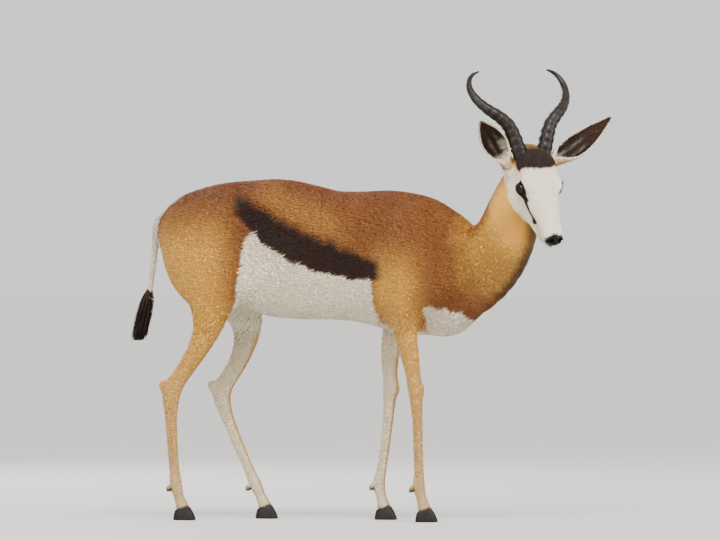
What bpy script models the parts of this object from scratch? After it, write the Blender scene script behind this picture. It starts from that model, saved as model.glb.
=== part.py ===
"""Springbok ram, life size, standing with its head turned to its right: solids of the body in metres.

The animal faces -Y with +Z up, so its right side is at -X. Flesh is one smooth field of lofts and
ellipsoids, meshed near each node and cut by planes; horns, eyes, hooves and hair locks are swept.
"""

import math
from dataclasses import dataclass, field

import bmesh
import bpy
import numpy as np
from mathutils import Matrix, Vector

GAP = 0.0003
FAR = 1.0
REACH = 0.045
TRIES = 6
SHARP_EDGE = math.radians(40.0)
BLOCK = 4


def unit(vector):
    """The vector at length one."""
    vector = np.asarray(vector, float)
    return vector / np.linalg.norm(vector)


def smooth_min(a, b, radius):
    """Union of two fields, rounded over the radius."""
    near = np.maximum(radius - np.abs(a - b), 0.0) / radius
    return np.minimum(a, b) - near * near * radius * 0.25


def smooth_max(a, b, radius):
    """Meeting of two fields, rounded over the radius."""
    return -smooth_min(-a, -b, radius)


def catmull(rows, per_span):
    """Rows resampled along a Catmull-Rom curve that passes through each of them."""
    rows = np.asarray(rows, float)
    ends = np.vstack([2 * rows[0] - rows[1], rows, 2 * rows[-1] - rows[-2]])
    out = []
    for i in range(len(rows) - 1):
        p0, p1, p2, p3 = ends[i : i + 4]
        for step in range(per_span):
            t = step / per_span
            out.append(
                0.5
                * (
                    2 * p1
                    + (p2 - p0) * t
                    + (2 * p0 - 5 * p1 + 4 * p2 - p3) * t * t
                    + (3 * p1 - p0 - 3 * p2 + p3) * t**3
                )
            )
    out.append(rows[-1])
    return np.array(out)


@dataclass
class Loft:
    """A chain of rounded sections: rows are x, y, z, half width, half depth."""

    rows: list
    side: tuple = (1.0, 0.0, 0.0)
    blend: float = 0.03
    power: float = 2.0
    egg: float = 0.0
    per_span: int = 3
    centre: np.ndarray = field(init=False)
    half: np.ndarray = field(init=False)
    across: np.ndarray = field(init=False)
    deep: np.ndarray = field(init=False)
    along: np.ndarray = field(init=False)

    def __post_init__(self):
        dense = catmull(self.rows, self.per_span)
        self.centre = dense[:, :3]
        self.half = np.maximum(dense[:, 3:5], 0.0015)
        along = np.gradient(self.centre, axis=0)
        self.along = along / np.linalg.norm(along, axis=1)[:, None]
        side = np.asarray(self.side, float)
        across = side - self.along * (self.along @ side)[:, None]
        self.across = across / np.linalg.norm(across, axis=1)[:, None]
        self.deep = np.cross(self.across, self.along)

    def box(self):
        """Low and high corners that hold the whole chain."""
        reach = self.half.max(axis=1)[:, None]
        return (self.centre - reach).min(axis=0), (self.centre + reach).max(axis=0)

    def value(self, points):
        """Signed distance, near enough, from the chain's skin."""
        columns = np.ascontiguousarray(points.T)
        best = np.full(len(points), FAR)
        for i in range(len(self.centre) - 1):
            a, b = self.centre[i], self.centre[i + 1]
            span = b - a
            reach = np.abs(span) / 2 + self.half[i : i + 2].max() + REACH
            offset = np.abs(columns - ((a + b) / 2)[:, None]) < reach[:, None]
            near = np.flatnonzero(offset[0] & offset[1] & offset[2])
            if not len(near):
                continue
            q = columns[:, near] - a[:, None]
            t = np.clip(span @ q / (span @ span), 0.0, 1.0)
            q -= span[:, None] * t
            wide = self.half[i, 0] + t * (self.half[i + 1, 0] - self.half[i, 0])
            deep = self.half[i, 1] + t * (self.half[i + 1, 1] - self.half[i, 1])
            turned = [
                frame[i] @ q + t * ((frame[i + 1] - frame[i]) @ q)
                for frame in (self.across, self.deep, self.along)
            ]
            qd = turned[1] / deep
            if self.egg:
                wide = wide * (1.0 + self.egg * np.clip(qd, -1.2, 1.2))
            parts = (turned[0] / wide, qd, turned[2] / (0.45 * (wide + deep)))
            if self.power == 2.0:
                k = np.sqrt(parts[0] ** 2 + parts[1] ** 2 + parts[2] ** 2)
            else:
                total = sum(np.abs(part) ** self.power for part in parts)
                k = total ** (1.0 / self.power)
            length = np.sqrt(q[0] ** 2 + q[1] ** 2 + q[2] ** 2)
            inner = -self.half[i : i + 2].min()
            value = np.where(k > 1e-4, length * (1.0 - 1.0 / np.maximum(k, 1e-4)), inner)
            best[near] = np.minimum(best[near], value)
        return best


@dataclass
class Ball:
    """An ellipsoid: centre, half sizes, and its own axes as rows."""

    centre: tuple
    half: tuple
    axes: tuple = ((1.0, 0.0, 0.0), (0.0, 1.0, 0.0), (0.0, 0.0, 1.0))
    blend: float = 0.03

    def box(self):
        """Low and high corners that hold the ellipsoid."""
        reach = max(self.half)
        centre = np.asarray(self.centre, float)
        return centre - reach, centre + reach

    def value(self, points):
        """Signed distance, near enough, from the ellipsoid."""
        q = np.asarray(self.axes, float) @ (points - np.asarray(self.centre, float)).T
        k = np.sqrt(sum((part / half) ** 2 for part, half in zip(q, self.half)))
        length = np.sqrt(q[0] ** 2 + q[1] ** 2 + q[2] ** 2)
        return np.where(k > 1e-4, length * (1.0 - 1.0 / np.maximum(k, 1e-4)), -min(self.half))


def held(points, shape, pad):
    """Indices of the points in the shape's box, padded."""
    low, high = shape.box()
    inside = [
        (points[:, n] > low[n] - pad) & (points[:, n] < high[n] + pad) for n in range(3)
    ]
    return np.flatnonzero(inside[0] & inside[1] & inside[2])


@dataclass
class Flesh:
    """Shapes joined by smooth unions, then hollows taken away."""

    solids: list
    hollows: list = field(default_factory=list)

    def value(self, points):
        """Signed distance of the joined shapes at each point."""
        out = np.full(len(points), FAR)
        for shape in self.solids:
            near = held(points, shape, REACH)
            if len(near):
                out[near] = smooth_min(out[near], shape.value(points[near]), shape.blend)
        for shape in self.hollows:
            near = held(points, shape, 0.02)
            if len(near):
                out[near] = smooth_max(out[near], -shape.value(points[near]), shape.blend)
        return out


def tilt(pitch, yaw=0.0):
    """Axes of a shape pitched about X, then turned about Z, in degrees, as rows."""
    p = math.radians(pitch)
    w = math.radians(yaw)
    rows = np.array([[1, 0, 0], [0, math.cos(p), math.sin(p)], [0, -math.sin(p), math.cos(p)]])
    turn = np.array([[math.cos(w), math.sin(w), 0], [-math.sin(w), math.cos(w), 0], [0, 0, 1]])
    return rows @ turn


EYE_MID = np.array([-0.102, -0.577, 0.811])
HEAD_TURN = math.radians(50.0)
HEAD_PITCH = math.radians(57.0)
HEAD_ROLL = math.radians(2.0)
UP = np.array([0.0, 0.0, 1.0])
HEADING = np.array([-math.sin(HEAD_TURN), -math.cos(HEAD_TURN), 0.0])
LEVEL_LEFT = np.array([math.cos(HEAD_TURN), -math.sin(HEAD_TURN), 0.0])
LEFT = LEVEL_LEFT * math.cos(HEAD_ROLL) + UP * math.sin(HEAD_ROLL)
RISE = UP * math.cos(HEAD_ROLL) - LEVEL_LEFT * math.sin(HEAD_ROLL)
FORWARD = HEADING * math.cos(HEAD_PITCH) - RISE * math.sin(HEAD_PITCH)
DORSAL = HEADING * math.sin(HEAD_PITCH) + RISE * math.cos(HEAD_PITCH)
HEAD_AXES = (tuple(FORWARD), tuple(LEFT), tuple(DORSAL))
SIDES = {"right": -1.0, "left": 1.0}


def head_point(f, left, u):
    """World point from distances ahead of, left of and above the middle of the eyes."""
    return EYE_MID + f * FORWARD + left * LEFT + u * DORSAL


def head_rows(rows):
    """World rows from head rows: ahead, left, above, half width, half depth."""
    return [(*head_point(*row[:3]), row[3], row[4]) for row in rows]


def head_loft(rows, blend, **more):
    """A loft given in the head's own directions."""
    return Loft(head_rows(rows), side=tuple(LEFT), blend=blend, **more)


def head_ball(at, half, blend, turn=0.0, lean=0.0):
    """An ellipsoid in the head's own directions, turned about its dorsal and leant about its left."""
    axes = np.array(HEAD_AXES)
    a = math.radians(turn)
    spin = np.array([[math.cos(a), math.sin(a), 0], [-math.sin(a), math.cos(a), 0], [0, 0, 1]])
    b = math.radians(lean)
    nod = np.array([[math.cos(b), 0, math.sin(b)], [0, 1, 0], [-math.sin(b), 0, math.cos(b)]])
    return Ball(tuple(head_point(*at)), half, tuple(map(tuple, nod @ spin @ axes)), blend)


TRUNK = [
    (0, -0.345, 0.590, 0.049, 0.100),
    (0, -0.300, 0.598, 0.070, 0.142),
    (0, -0.260, 0.610, 0.081, 0.160),
    (0, -0.220, 0.621, 0.087, 0.163),
    (0, -0.170, 0.633, 0.095, 0.161),
    (0, -0.100, 0.643, 0.102, 0.158),
    (0, -0.030, 0.647, 0.108, 0.158),
    (0, 0.030, 0.654, 0.111, 0.165),
    (0, 0.090, 0.663, 0.107, 0.169),
    (0, 0.140, 0.674, 0.102, 0.160),
    (0, 0.190, 0.690, 0.096, 0.140),
    (0, 0.240, 0.702, 0.090, 0.120),
    (0, 0.300, 0.708, 0.079, 0.095),
    (0, 0.345, 0.706, 0.062, 0.068),
    (0, 0.372, 0.704, 0.045, 0.048),
]
NECK = [
    (0.000, -0.200, 0.650, 0.070, 0.100),
    (0.000, -0.290, 0.618, 0.070, 0.132),
    (-0.004, -0.365, 0.603, 0.064, 0.112),
    (-0.016, -0.430, 0.632, 0.058, 0.090),
    (-0.034, -0.475, 0.686, 0.054, 0.077),
    (-0.046, -0.500, 0.748, 0.050, 0.068),
    (-0.049, -0.521, 0.805, 0.046, 0.058),
    (-0.047, -0.541, 0.852, 0.040, 0.044),
]
SHOULDER_BALLS = [
    ((0.060, -0.228, 0.655), (0.034, 0.066, 0.112), 14.0, 0.0),
    ((0.066, -0.300, 0.575), (0.032, 0.046, 0.052), 0.0, 0.0),
    ((0.072, -0.215, 0.560), (0.030, 0.055, 0.060), -24.0, 0.0),
]
THIGH_BALLS = [
    ((0.064, 0.262, 0.655), (0.046, 0.092, 0.120), 8.0, 0.0),
    ((0.062, 0.195, 0.610), (0.038, 0.052, 0.075), 22.0, 0.0),
    ((0.050, 0.325, 0.640), (0.036, 0.044, 0.100), -12.0, 0.0),
    ((0.056, 0.160, 0.760), (0.040, 0.060, 0.035), 0.0, 0.0),
]
LEG_ROWS = {
    "fore_right": [
        (-0.066, -0.222, 0.560, 0.026, 0.045),
        (-0.068, -0.230, 0.504, 0.025, 0.036),
        (-0.069, -0.238, 0.452, 0.0215, 0.0285),
        (-0.070, -0.250, 0.393, 0.0175, 0.0225),
        (-0.070, -0.257, 0.350, 0.0160, 0.0185),
        (-0.070, -0.262, 0.320, 0.0172, 0.0195),
        (-0.070, -0.264, 0.292, 0.0145, 0.0160),
        (-0.070, -0.267, 0.246, 0.0115, 0.0130),
        (-0.070, -0.269, 0.173, 0.0105, 0.0120),
        (-0.070, -0.271, 0.115, 0.0110, 0.0125),
        (-0.070, -0.270, 0.090, 0.0138, 0.0158),
        (-0.070, -0.277, 0.058, 0.0122, 0.0125),
        (-0.070, -0.284, 0.034, 0.0180, 0.0160),
        (-0.070, -0.290, 0.012, 0.0200, 0.0180),
    ],
    "fore_left": [
        (0.066, -0.192, 0.560, 0.026, 0.045),
        (0.068, -0.184, 0.504, 0.025, 0.036),
        (0.069, -0.172, 0.452, 0.0215, 0.0285),
        (0.070, -0.164, 0.393, 0.0175, 0.0225),
        (0.070, -0.165, 0.350, 0.0160, 0.0185),
        (0.070, -0.166, 0.320, 0.0172, 0.0195),
        (0.070, -0.163, 0.292, 0.0145, 0.0160),
        (0.070, -0.160, 0.246, 0.0115, 0.0130),
        (0.070, -0.151, 0.173, 0.0105, 0.0120),
        (0.070, -0.142, 0.115, 0.0110, 0.0125),
        (0.070, -0.136, 0.090, 0.0138, 0.0158),
        (0.070, -0.142, 0.058, 0.0122, 0.0125),
        (0.070, -0.148, 0.034, 0.0180, 0.0160),
        (0.070, -0.154, 0.012, 0.0200, 0.0180),
    ],
    "hind_right": [
        (-0.066, 0.244, 0.600, 0.040, 0.082),
        (-0.069, 0.246, 0.548, 0.036, 0.066),
        (-0.072, 0.252, 0.504, 0.030, 0.048),
        (-0.074, 0.262, 0.460, 0.024, 0.034),
        (-0.075, 0.285, 0.415, 0.0200, 0.0270),
        (-0.076, 0.313, 0.371, 0.0165, 0.0225),
        (-0.076, 0.338, 0.335, 0.0150, 0.0225),
        (-0.076, 0.350, 0.305, 0.0160, 0.0230),
        (-0.076, 0.351, 0.272, 0.0135, 0.0185),
        (-0.076, 0.350, 0.240, 0.0118, 0.0150),
        (-0.076, 0.346, 0.173, 0.0108, 0.0132),
        (-0.076, 0.341, 0.115, 0.0112, 0.0130),
        (-0.076, 0.338, 0.088, 0.0138, 0.0160),
        (-0.076, 0.330, 0.056, 0.0122, 0.0125),
        (-0.076, 0.322, 0.034, 0.0180, 0.0160),
        (-0.076, 0.316, 0.012, 0.0200, 0.0180),
    ],
    "hind_left": [
        (0.066, 0.232, 0.600, 0.040, 0.082),
        (0.069, 0.218, 0.548, 0.036, 0.064),
        (0.072, 0.204, 0.504, 0.030, 0.048),
        (0.074, 0.198, 0.460, 0.024, 0.035),
        (0.075, 0.208, 0.415, 0.0200, 0.0270),
        (0.076, 0.228, 0.371, 0.0165, 0.0225),
        (0.076, 0.252, 0.335, 0.0150, 0.0225),
        (0.076, 0.263, 0.305, 0.0160, 0.0230),
        (0.076, 0.256, 0.272, 0.0135, 0.0185),
        (0.076, 0.245, 0.240, 0.0118, 0.0150),
        (0.076, 0.217, 0.173, 0.0108, 0.0132),
        (0.076, 0.190, 0.112, 0.0112, 0.0130),
        (0.076, 0.178, 0.086, 0.0138, 0.0160),
        (0.076, 0.164, 0.056, 0.0122, 0.0125),
        (0.076, 0.154, 0.034, 0.0180, 0.0160),
        (0.076, 0.148, 0.012, 0.0200, 0.0180),
    ],
}
HOOF_Y = {"fore_right": -0.289, "fore_left": -0.153, "hind_right": 0.317, "hind_left": 0.149}
HOCK_BALLS = {
    "hind_right": ((-0.076, 0.366, 0.325), (0.0100, 0.0125, 0.0200), -35.0),
    "hind_left": ((0.076, 0.283, 0.322), (0.0100, 0.0125, 0.0200), -42.0),
}
SKULL = [
    (-0.104, 0.0, -0.006, 0.024, 0.022),
    (-0.086, 0.0, -0.004, 0.040, 0.036),
    (-0.058, 0.0, 0.000, 0.048, 0.041),
    (-0.030, 0.0, -0.001, 0.050, 0.040),
    (0.000, 0.0, -0.005, 0.048, 0.038),
    (0.030, 0.0, -0.007, 0.042, 0.034),
    (0.060, 0.0, -0.008, 0.035, 0.0290),
    (0.090, 0.0, -0.009, 0.0300, 0.0250),
    (0.115, 0.0, -0.011, 0.0270, 0.0220),
    (0.132, 0.0, -0.013, 0.0240, 0.0188),
    (0.143, 0.0, -0.015, 0.0185, 0.0145),
]
JAW = [
    (-0.055, 0.0, -0.045, 0.040, 0.036),
    (-0.030, 0.0, -0.054, 0.043, 0.034),
    (0.000, 0.0, -0.056, 0.042, 0.029),
    (0.030, 0.0, -0.053, 0.037, 0.0250),
    (0.060, 0.0, -0.049, 0.0310, 0.0200),
    (0.090, 0.0, -0.045, 0.0255, 0.0160),
    (0.115, 0.0, -0.0415, 0.0205, 0.0135),
    (0.131, 0.0, -0.0385, 0.0155, 0.0105),
]
EYE_OUT = 0.0430
EYE_RADIUS = 0.0172
MOUTH = [
    (0.152, 0.000, -0.0300),
    (0.146, 0.011, -0.0302),
    (0.132, 0.0215, -0.0290),
    (0.112, 0.0265, -0.0285),
    (0.092, 0.0300, -0.0300),
    (0.074, 0.0330, -0.0345),
]


def eye_centre(sign):
    """Centre of the eyeball on one side."""
    return head_point(0.0, sign * EYE_OUT, 0.0)


def eye_slot(sign):
    """The almond opening between the lids of one eye."""
    gaze = unit(sign * 0.84 * LEFT + 0.28 * FORWARD + 0.34 * DORSAL)
    long = unit(0.97 * FORWARD - 0.24 * DORSAL - gaze * (gaze @ (0.97 * FORWARD - 0.24 * DORSAL)))
    axes = (tuple(long), tuple(gaze), tuple(np.cross(long, gaze)))
    return Ball(tuple(eye_centre(sign) + gaze * 0.0208), (0.0172, 0.0130, 0.0112), axes, 0.003)


def head_flesh():
    """Shapes and hollows of the head."""
    solids = [
        head_loft(SKULL, 0.02, egg=-0.05),
        head_loft(JAW, 0.014, egg=-0.10),
        head_ball((0.128, 0.0, -0.006), (0.022, 0.020, 0.012), 0.012, lean=-18.0),
        head_ball((0.132, 0.0, -0.036), (0.017, 0.0135, 0.0105), 0.006),
    ]
    hollows = []
    for sign in SIDES.values():
        solids += [
            Ball(tuple(eye_centre(sign)), (0.0208,) * 3, blend=0.013),
            head_ball((-0.006, sign * 0.040, 0.017), (0.024, 0.013, 0.009), 0.016, -8.0 * sign),
            head_ball((-0.012, sign * 0.037, -0.048), (0.042, 0.012, 0.030), 0.016),
            head_ball((0.045, sign * 0.026, -0.014), (0.036, 0.010, 0.014), 0.014, -8.0 * sign),
            head_ball((-0.052, sign * 0.029, 0.026), (0.022, 0.016, 0.014), 0.018),
            head_ball((-0.072, sign * 0.047, -0.030), (0.025, 0.017, 0.020), 0.016),
            head_ball((0.140, sign * 0.0135, -0.010), (0.013, 0.009, 0.010), 0.008),
            head_ball((0.118, sign * 0.0170, -0.022), (0.026, 0.008, 0.0085), 0.008),
        ]
        hollows += [
            eye_slot(sign),
            head_ball((0.151, sign * 0.0125, -0.0075), (0.0085, 0.0042, 0.0052), 0.003, 32.0 * sign),
            Loft(
                head_rows([(f, sign * s, u, 0.0030, 0.0024) for f, s, u in MOUTH]),
                side=tuple(DORSAL),
                blend=0.002,
            ),
        ]
    return solids, hollows


def body_flesh():
    """Shapes of the trunk, neck and limbs."""
    solids = [
        Loft(TRUNK, blend=0.03, power=2.15, egg=0.04),
        Loft(NECK, side=(1.0, -0.12, 0.0), blend=0.05),
        Ball((0.0, -0.330, 0.505), (0.042, 0.050, 0.050), tilt(20.0), 0.04),
        Ball((0.0, -0.190, 0.755), (0.030, 0.110, 0.036), tilt(-3.0), 0.05),
    ]
    for sign in SIDES.values():
        for centre, half, pitch, yaw in SHOULDER_BALLS + THIGH_BALLS:
            at = (sign * centre[0], centre[1], centre[2])
            solids.append(Ball(at, half, tilt(pitch, sign * yaw), 0.045))
    for leg, rows in LEG_ROWS.items():
        solids.append(Loft(rows, blend=0.03, per_span=2))
        if leg in HOCK_BALLS:
            centre, half, pitch = HOCK_BALLS[leg]
            solids.append(Ball(centre, half, tilt(pitch), 0.014))
        for sign in SIDES.values():
            x, y, z = rows[-4][:3]
            dewclaw = (x + sign * 0.0085, y + 0.0165, z - 0.010)
            solids.append(Ball(dewclaw, (0.0055, 0.0060, 0.0095), tilt(20.0), 0.005))
    return solids


def whole_flesh():
    """Every soft shape of the animal in one field."""
    solids, hollows = head_flesh()
    return Flesh(body_flesh() + solids, hollows)


def grid_axes(low, high, step):
    """Three coordinate lists that cover the box in whole blocks."""
    axes = []
    for a, b in zip(low, high):
        count = BLOCK * math.ceil((b - a) / step / BLOCK)
        axes.append(a + step * np.arange(count))
    return axes


def sample(flesh, axes, step):
    """Field values on the grid; blocks far from the skin keep only their sign."""
    sizes = [len(a) for a in axes]
    middles = [a.reshape(-1, BLOCK).mean(axis=1) for a in axes]
    blocks = np.stack(np.meshgrid(*middles, indexing="ij"), axis=-1)
    coarse = flesh.value(blocks.reshape(-1, 3))
    near = np.abs(coarse) < 1.4 * BLOCK * step
    values = np.repeat(np.where(coarse < 0, -FAR, FAR), BLOCK**3).reshape(-1, BLOCK, BLOCK, BLOCK)
    offsets = (np.arange(BLOCK) - (BLOCK - 1) / 2) * step
    local = np.stack(np.meshgrid(offsets, offsets, offsets, indexing="ij"), axis=-1)
    points = blocks.reshape(-1, 1, 1, 1, 3)[near] + local
    values[near] = flesh.value(points.reshape(-1, 3)).reshape(-1, BLOCK, BLOCK, BLOCK)
    counts = [n // BLOCK for n in sizes]
    grid = values.reshape(*counts, BLOCK, BLOCK, BLOCK).transpose(0, 3, 1, 4, 2, 5).reshape(sizes)
    for axis in range(3):
        edge = [slice(None)] * 3
        for end in (0, -1):
            edge[axis] = end
            grid[tuple(edge)] = np.maximum(grid[tuple(edge)], step)
    return grid


def fill_checks(grid, step):
    """Fills grid squares whose corners alternate, which would give one edge to four faces."""
    low, high = slice(0, -1), slice(1, None)
    found = np.ones(1, bool)
    while found.any():
        inside = grid < 0
        found = np.zeros(grid.shape, bool)
        for u, v in ((0, 1), (0, 2), (1, 2)):
            corners = []
            for a, b in ((low, low), (high, high), (high, low), (low, high)):
                corner = [slice(None)] * 3
                corner[u], corner[v] = a, b
                corners.append(tuple(corner))
            first, last, second, third = (inside[corner] for corner in corners)
            check = (first == last) & (second == third) & (first != second)
            for corner in corners:
                found[corner] |= check & ~inside[corner]
        grid[found] = -0.05 * step
    return grid


def surface_net(grid, axes):
    """Points and quads of the zero surface, one point in each cell that it crosses."""
    inside = grid < 0
    shape = np.array(grid.shape) - 1
    corners = [(i, j, k) for i in (0, 1) for j in (0, 1) for k in (0, 1)]
    views = [inside[i : i + shape[0], j : j + shape[1], k : k + shape[2]] for i, j, k in corners]
    mixed = np.logical_or.reduce(views) & ~np.logical_and.reduce(views)
    cells = np.argwhere(mixed)
    index = np.full(shape, -1)
    index[mixed] = np.arange(len(cells))
    total = np.zeros((len(cells), 3))
    count = np.zeros(len(cells))
    for axis in range(3):
        for a in (0, 1):
            for b in (0, 1):
                first = np.insert(np.array([a, b]), axis, 0)
                second = np.insert(np.array([a, b]), axis, 1)
                start = cells + first
                end = cells + second
                va = grid[tuple(start.T)]
                vb = grid[tuple(end.T)]
                cross = (va < 0) != (vb < 0)
                t = va[cross] / (va[cross] - vb[cross])
                pa = np.stack([axes[n][start[cross, n]] for n in range(3)], axis=1)
                pb = np.stack([axes[n][end[cross, n]] for n in range(3)], axis=1)
                total[cross] += pa + t[:, None] * (pb - pa)
                count[cross] += 1
    points = total / count[:, None]
    quads = []
    for axis in range(3):
        lower = [slice(None)] * 3
        upper = [slice(None)] * 3
        lower[axis] = slice(0, -1)
        upper[axis] = slice(1, None)
        change = inside[tuple(lower)] != inside[tuple(upper)]
        edges = np.argwhere(change)
        u, v = [n for n in range(3) if n != axis]
        keep = (edges[:, u] > 0) & (edges[:, v] > 0)
        keep &= (edges[:, u] < shape[u]) & (edges[:, v] < shape[v])
        edges = edges[keep]
        ring = []
        for du, dv in ((-1, -1), (0, -1), (0, 0), (-1, 0)):
            cell = edges.copy()
            cell[:, u] += du
            cell[:, v] += dv
            ring.append(index[tuple(cell.T)])
        quad = np.stack(ring, axis=1)
        outward = inside[tuple(edges.T)] ^ (axis == 1)
        quads.append(np.where(outward[:, None], quad, quad[:, ::-1]))
    return points, np.vstack(quads)


def settle(flesh, points, rounds=2, reach=0.0012):
    """Points drawn onto the zero surface along the field's slope."""
    step = 0.0004
    for _ in range(rounds):
        value = flesh.value(points)
        slope = np.empty_like(points)
        for axis in range(3):
            moved = points.copy()
            moved[:, axis] += step
            slope[:, axis] = (flesh.value(moved) - value) / step
        size = np.maximum((slope**2).sum(axis=1), 0.25)
        shift = -(value / size)[:, None] * slope
        length = np.maximum(np.linalg.norm(shift, axis=1), 1e-9)
        points = points + shift * np.minimum(1.0, reach / length)[:, None]
    return points


def add_object(name, points, faces):
    """A mesh object from points and faces."""
    mesh = bpy.data.meshes.new(name)
    mesh.from_pydata([tuple(map(float, p)) for p in points], [], [tuple(map(int, f)) for f in faces])
    mesh.validate()
    obj = bpy.data.objects.new(name, mesh)
    bpy.context.scene.collection.objects.link(obj)
    return obj


def evaluated(obj):
    """Replaces the object's mesh by what its modifiers make of it."""
    graph = bpy.context.evaluated_depsgraph_get()
    graph.update()
    mesh = bpy.data.meshes.new_from_object(obj.evaluated_get(graph))
    old = obj.data
    obj.modifiers.clear()
    obj.data = mesh
    mesh.name = obj.name
    bpy.data.meshes.remove(old)


def triangle_count(obj):
    """Number of triangles in the object's mesh."""
    obj.data.calc_loop_triangles()
    return len(obj.data.loop_triangles)


def thin_out(obj, budget):
    """Reduces the object to about the number of triangles given."""
    now = triangle_count(obj)
    if now > budget:
        modifier = obj.modifiers.new("Decimate", "DECIMATE")
        modifier.ratio = budget / now
        evaluated(obj)


def grown(name, flesh, box, step, budget, planes=()):
    """A node's solid: the field meshed in a box, thinned, settled on the skin and cut by planes."""
    low, high = box
    for attempt in range(TRIES):
        start = np.array(low) + 0.13 * step * attempt
        axes = grid_axes(start, high, step)
        points, quads = surface_net(fill_checks(sample(flesh, axes, step), step), axes)
        obj = add_object(name, settle(flesh, points), quads)
        thin_out(obj, budget + 2 * attempt)
        rough = np.array([v.co for v in obj.data.vertices])
        inner = (rough > start + 2 * step) & (rough < np.array([a[-1] for a in axes]) - 2 * step)
        inner = inner.all(axis=1)
        rough[inner] = settle(flesh, rough[inner], 1)
        obj.data.vertices.foreach_set("co", rough.ravel())
        obj.data.update()
        cut(obj, planes)
        if is_closed(obj) or attempt == TRIES - 1:
            return obj
        drop(obj)


def is_closed(obj):
    """Whether every edge of the object's mesh joins two faces."""
    bm = bmesh.new()
    bm.from_mesh(obj.data)
    closed = all(edge.is_manifold for edge in bm.edges)
    bm.free()
    return closed


def keep_largest(bm):
    """Deletes every piece of the mesh but the one with the most faces by area."""
    left = set(bm.faces)
    pieces = []
    while left:
        seed = left.pop()
        piece = {seed}
        front = [seed]
        while front:
            face = front.pop()
            for edge in face.edges:
                for other in edge.link_faces:
                    if other in left:
                        left.discard(other)
                        piece.add(other)
                        front.append(other)
        pieces.append(piece)
    pieces.sort(key=lambda piece: sum(face.calc_area() for face in piece))
    spare = [face for piece in pieces[:-1] for face in piece]
    bmesh.ops.delete(bm, geom=spare, context="FACES")
    loose = [v for v in bm.verts if not v.link_faces]
    bmesh.ops.delete(bm, geom=loose, context="VERTS")


def cut(obj, planes):
    """Keeps what lies on the side each (point, direction) looks to, half a gap in, closed flat."""
    bm = bmesh.new()
    bm.from_mesh(obj.data)
    for point, direction in planes:
        direction = unit(direction)
        at = np.asarray(point, float) + direction * GAP / 2
        geom = list(bm.verts) + list(bm.edges) + list(bm.faces)
        bmesh.ops.bisect_plane(
            bm, geom=geom, dist=1e-6, plane_co=at, plane_no=direction, clear_inner=True
        )
        rim = [edge for edge in bm.edges if edge.is_boundary]
        bmesh.ops.holes_fill(bm, edges=rim, sides=0)
    keep_largest(bm)
    bmesh.ops.triangulate(bm, faces=list(bm.faces))
    bmesh.ops.recalc_face_normals(bm, faces=list(bm.faces))
    bm.to_mesh(obj.data)
    bm.free()
    return obj


def helper(obj):
    """Marks an object as a cutter that isn't part of the model."""
    obj.hide_render = True
    obj.display_type = "WIRE"
    return obj


def swollen(obj, by):
    """A copy of the object moved out along its normals."""
    mesh = obj.data
    points = np.array([v.co + v.normal * by for v in mesh.vertices])
    copy = add_object(f"{obj.name}_swollen", points, [tuple(p.vertices) for p in mesh.polygons])
    return helper(copy)


def boolean(obj, other, operation, solver="EXACT"):
    """Applies one Boolean and keeps the largest piece."""
    modifier = obj.modifiers.new("Boolean", "BOOLEAN")
    modifier.operation = operation
    modifier.solver = solver
    if isinstance(other, bpy.types.Collection):
        modifier.operand_type = "COLLECTION"
        modifier.collection = other
    else:
        modifier.object = other
    evaluated(obj)
    bm = bmesh.new()
    bm.from_mesh(obj.data)
    bmesh.ops.triangulate(bm, faces=list(bm.faces))
    bmesh.ops.remove_doubles(bm, verts=list(bm.verts), dist=2e-6)
    keep_largest(bm)
    bm.to_mesh(obj.data)
    bm.free()
    return obj


def drop(obj):
    """Removes a helper and its mesh."""
    mesh = obj.data
    bpy.data.objects.remove(obj)
    bpy.data.meshes.remove(mesh)


def tube(name, rings):
    """A closed mesh through rings of points, each ring in the same order."""
    rings = np.asarray(rings, float)
    count, around = rings.shape[:2]
    points = list(rings.reshape(-1, 3)) + [rings[0].mean(axis=0), rings[-1].mean(axis=0)]
    faces = []
    for i in range(count - 1):
        for j in range(around):
            k = (j + 1) % around
            faces.append((i * around + j, i * around + k, (i + 1) * around + k, (i + 1) * around + j))
    first = count * around
    for j in range(around):
        k = (j + 1) % around
        faces.append((first, k, j))
        faces.append((first + 1, (count - 1) * around + j, (count - 1) * around + k))
    obj = add_object(name, points, faces)
    bm = bmesh.new()
    bm.from_mesh(obj.data)
    bmesh.ops.triangulate(bm, faces=list(bm.faces))
    if bm.calc_volume(signed=True) < 0:
        bmesh.ops.reverse_faces(bm, faces=list(bm.faces))
    bm.to_mesh(obj.data)
    bm.free()
    return obj


def box_cutter(name, low, high):
    """A plain box between two corners, as a helper."""
    xs, ys, zs = zip(low, high)
    points = [(x, y, z) for x in xs for y in ys for z in zs]
    faces = [(0, 1, 3, 2), (4, 6, 7, 5), (0, 4, 5, 1), (2, 3, 7, 6), (0, 2, 6, 4), (1, 5, 7, 3)]
    return helper(add_object(name, points, faces))


HEAD_BOX = (np.array([0.115, 0.125, 0.165]), np.array([0.112, 0.150, 0.135]))
HEAD_CUT = (head_point(-0.020, 0.0, -0.093), 0.97 * DORSAL - 0.25 * FORWARD)
NECK_CUT = (np.array([0.0, -0.345, 0.610]), unit([0.0, -0.975, 0.222]))
FORE_TOP = 0.498
FORE_INNER = 0.036
FORE_SPANS = {"fore_right": (-0.300, -0.160), "fore_left": (-0.262, -0.120)}
HIND_TOP = 0.472
HIND_INNER = 0.004
HIND_SPAN = (0.132, 0.420)
CANNON_TOP = {"fore": 0.322, "hind": 0.288}
FETLOCK_TOP = 0.110
CORONET = 0.029
CORONET_SLOPE = 0.35
DOWN = np.array([0.0, 0.0, -1.0])
LEG_BUDGET = {"upper": 480, "cannon": 240, "pastern": 350}


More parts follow.
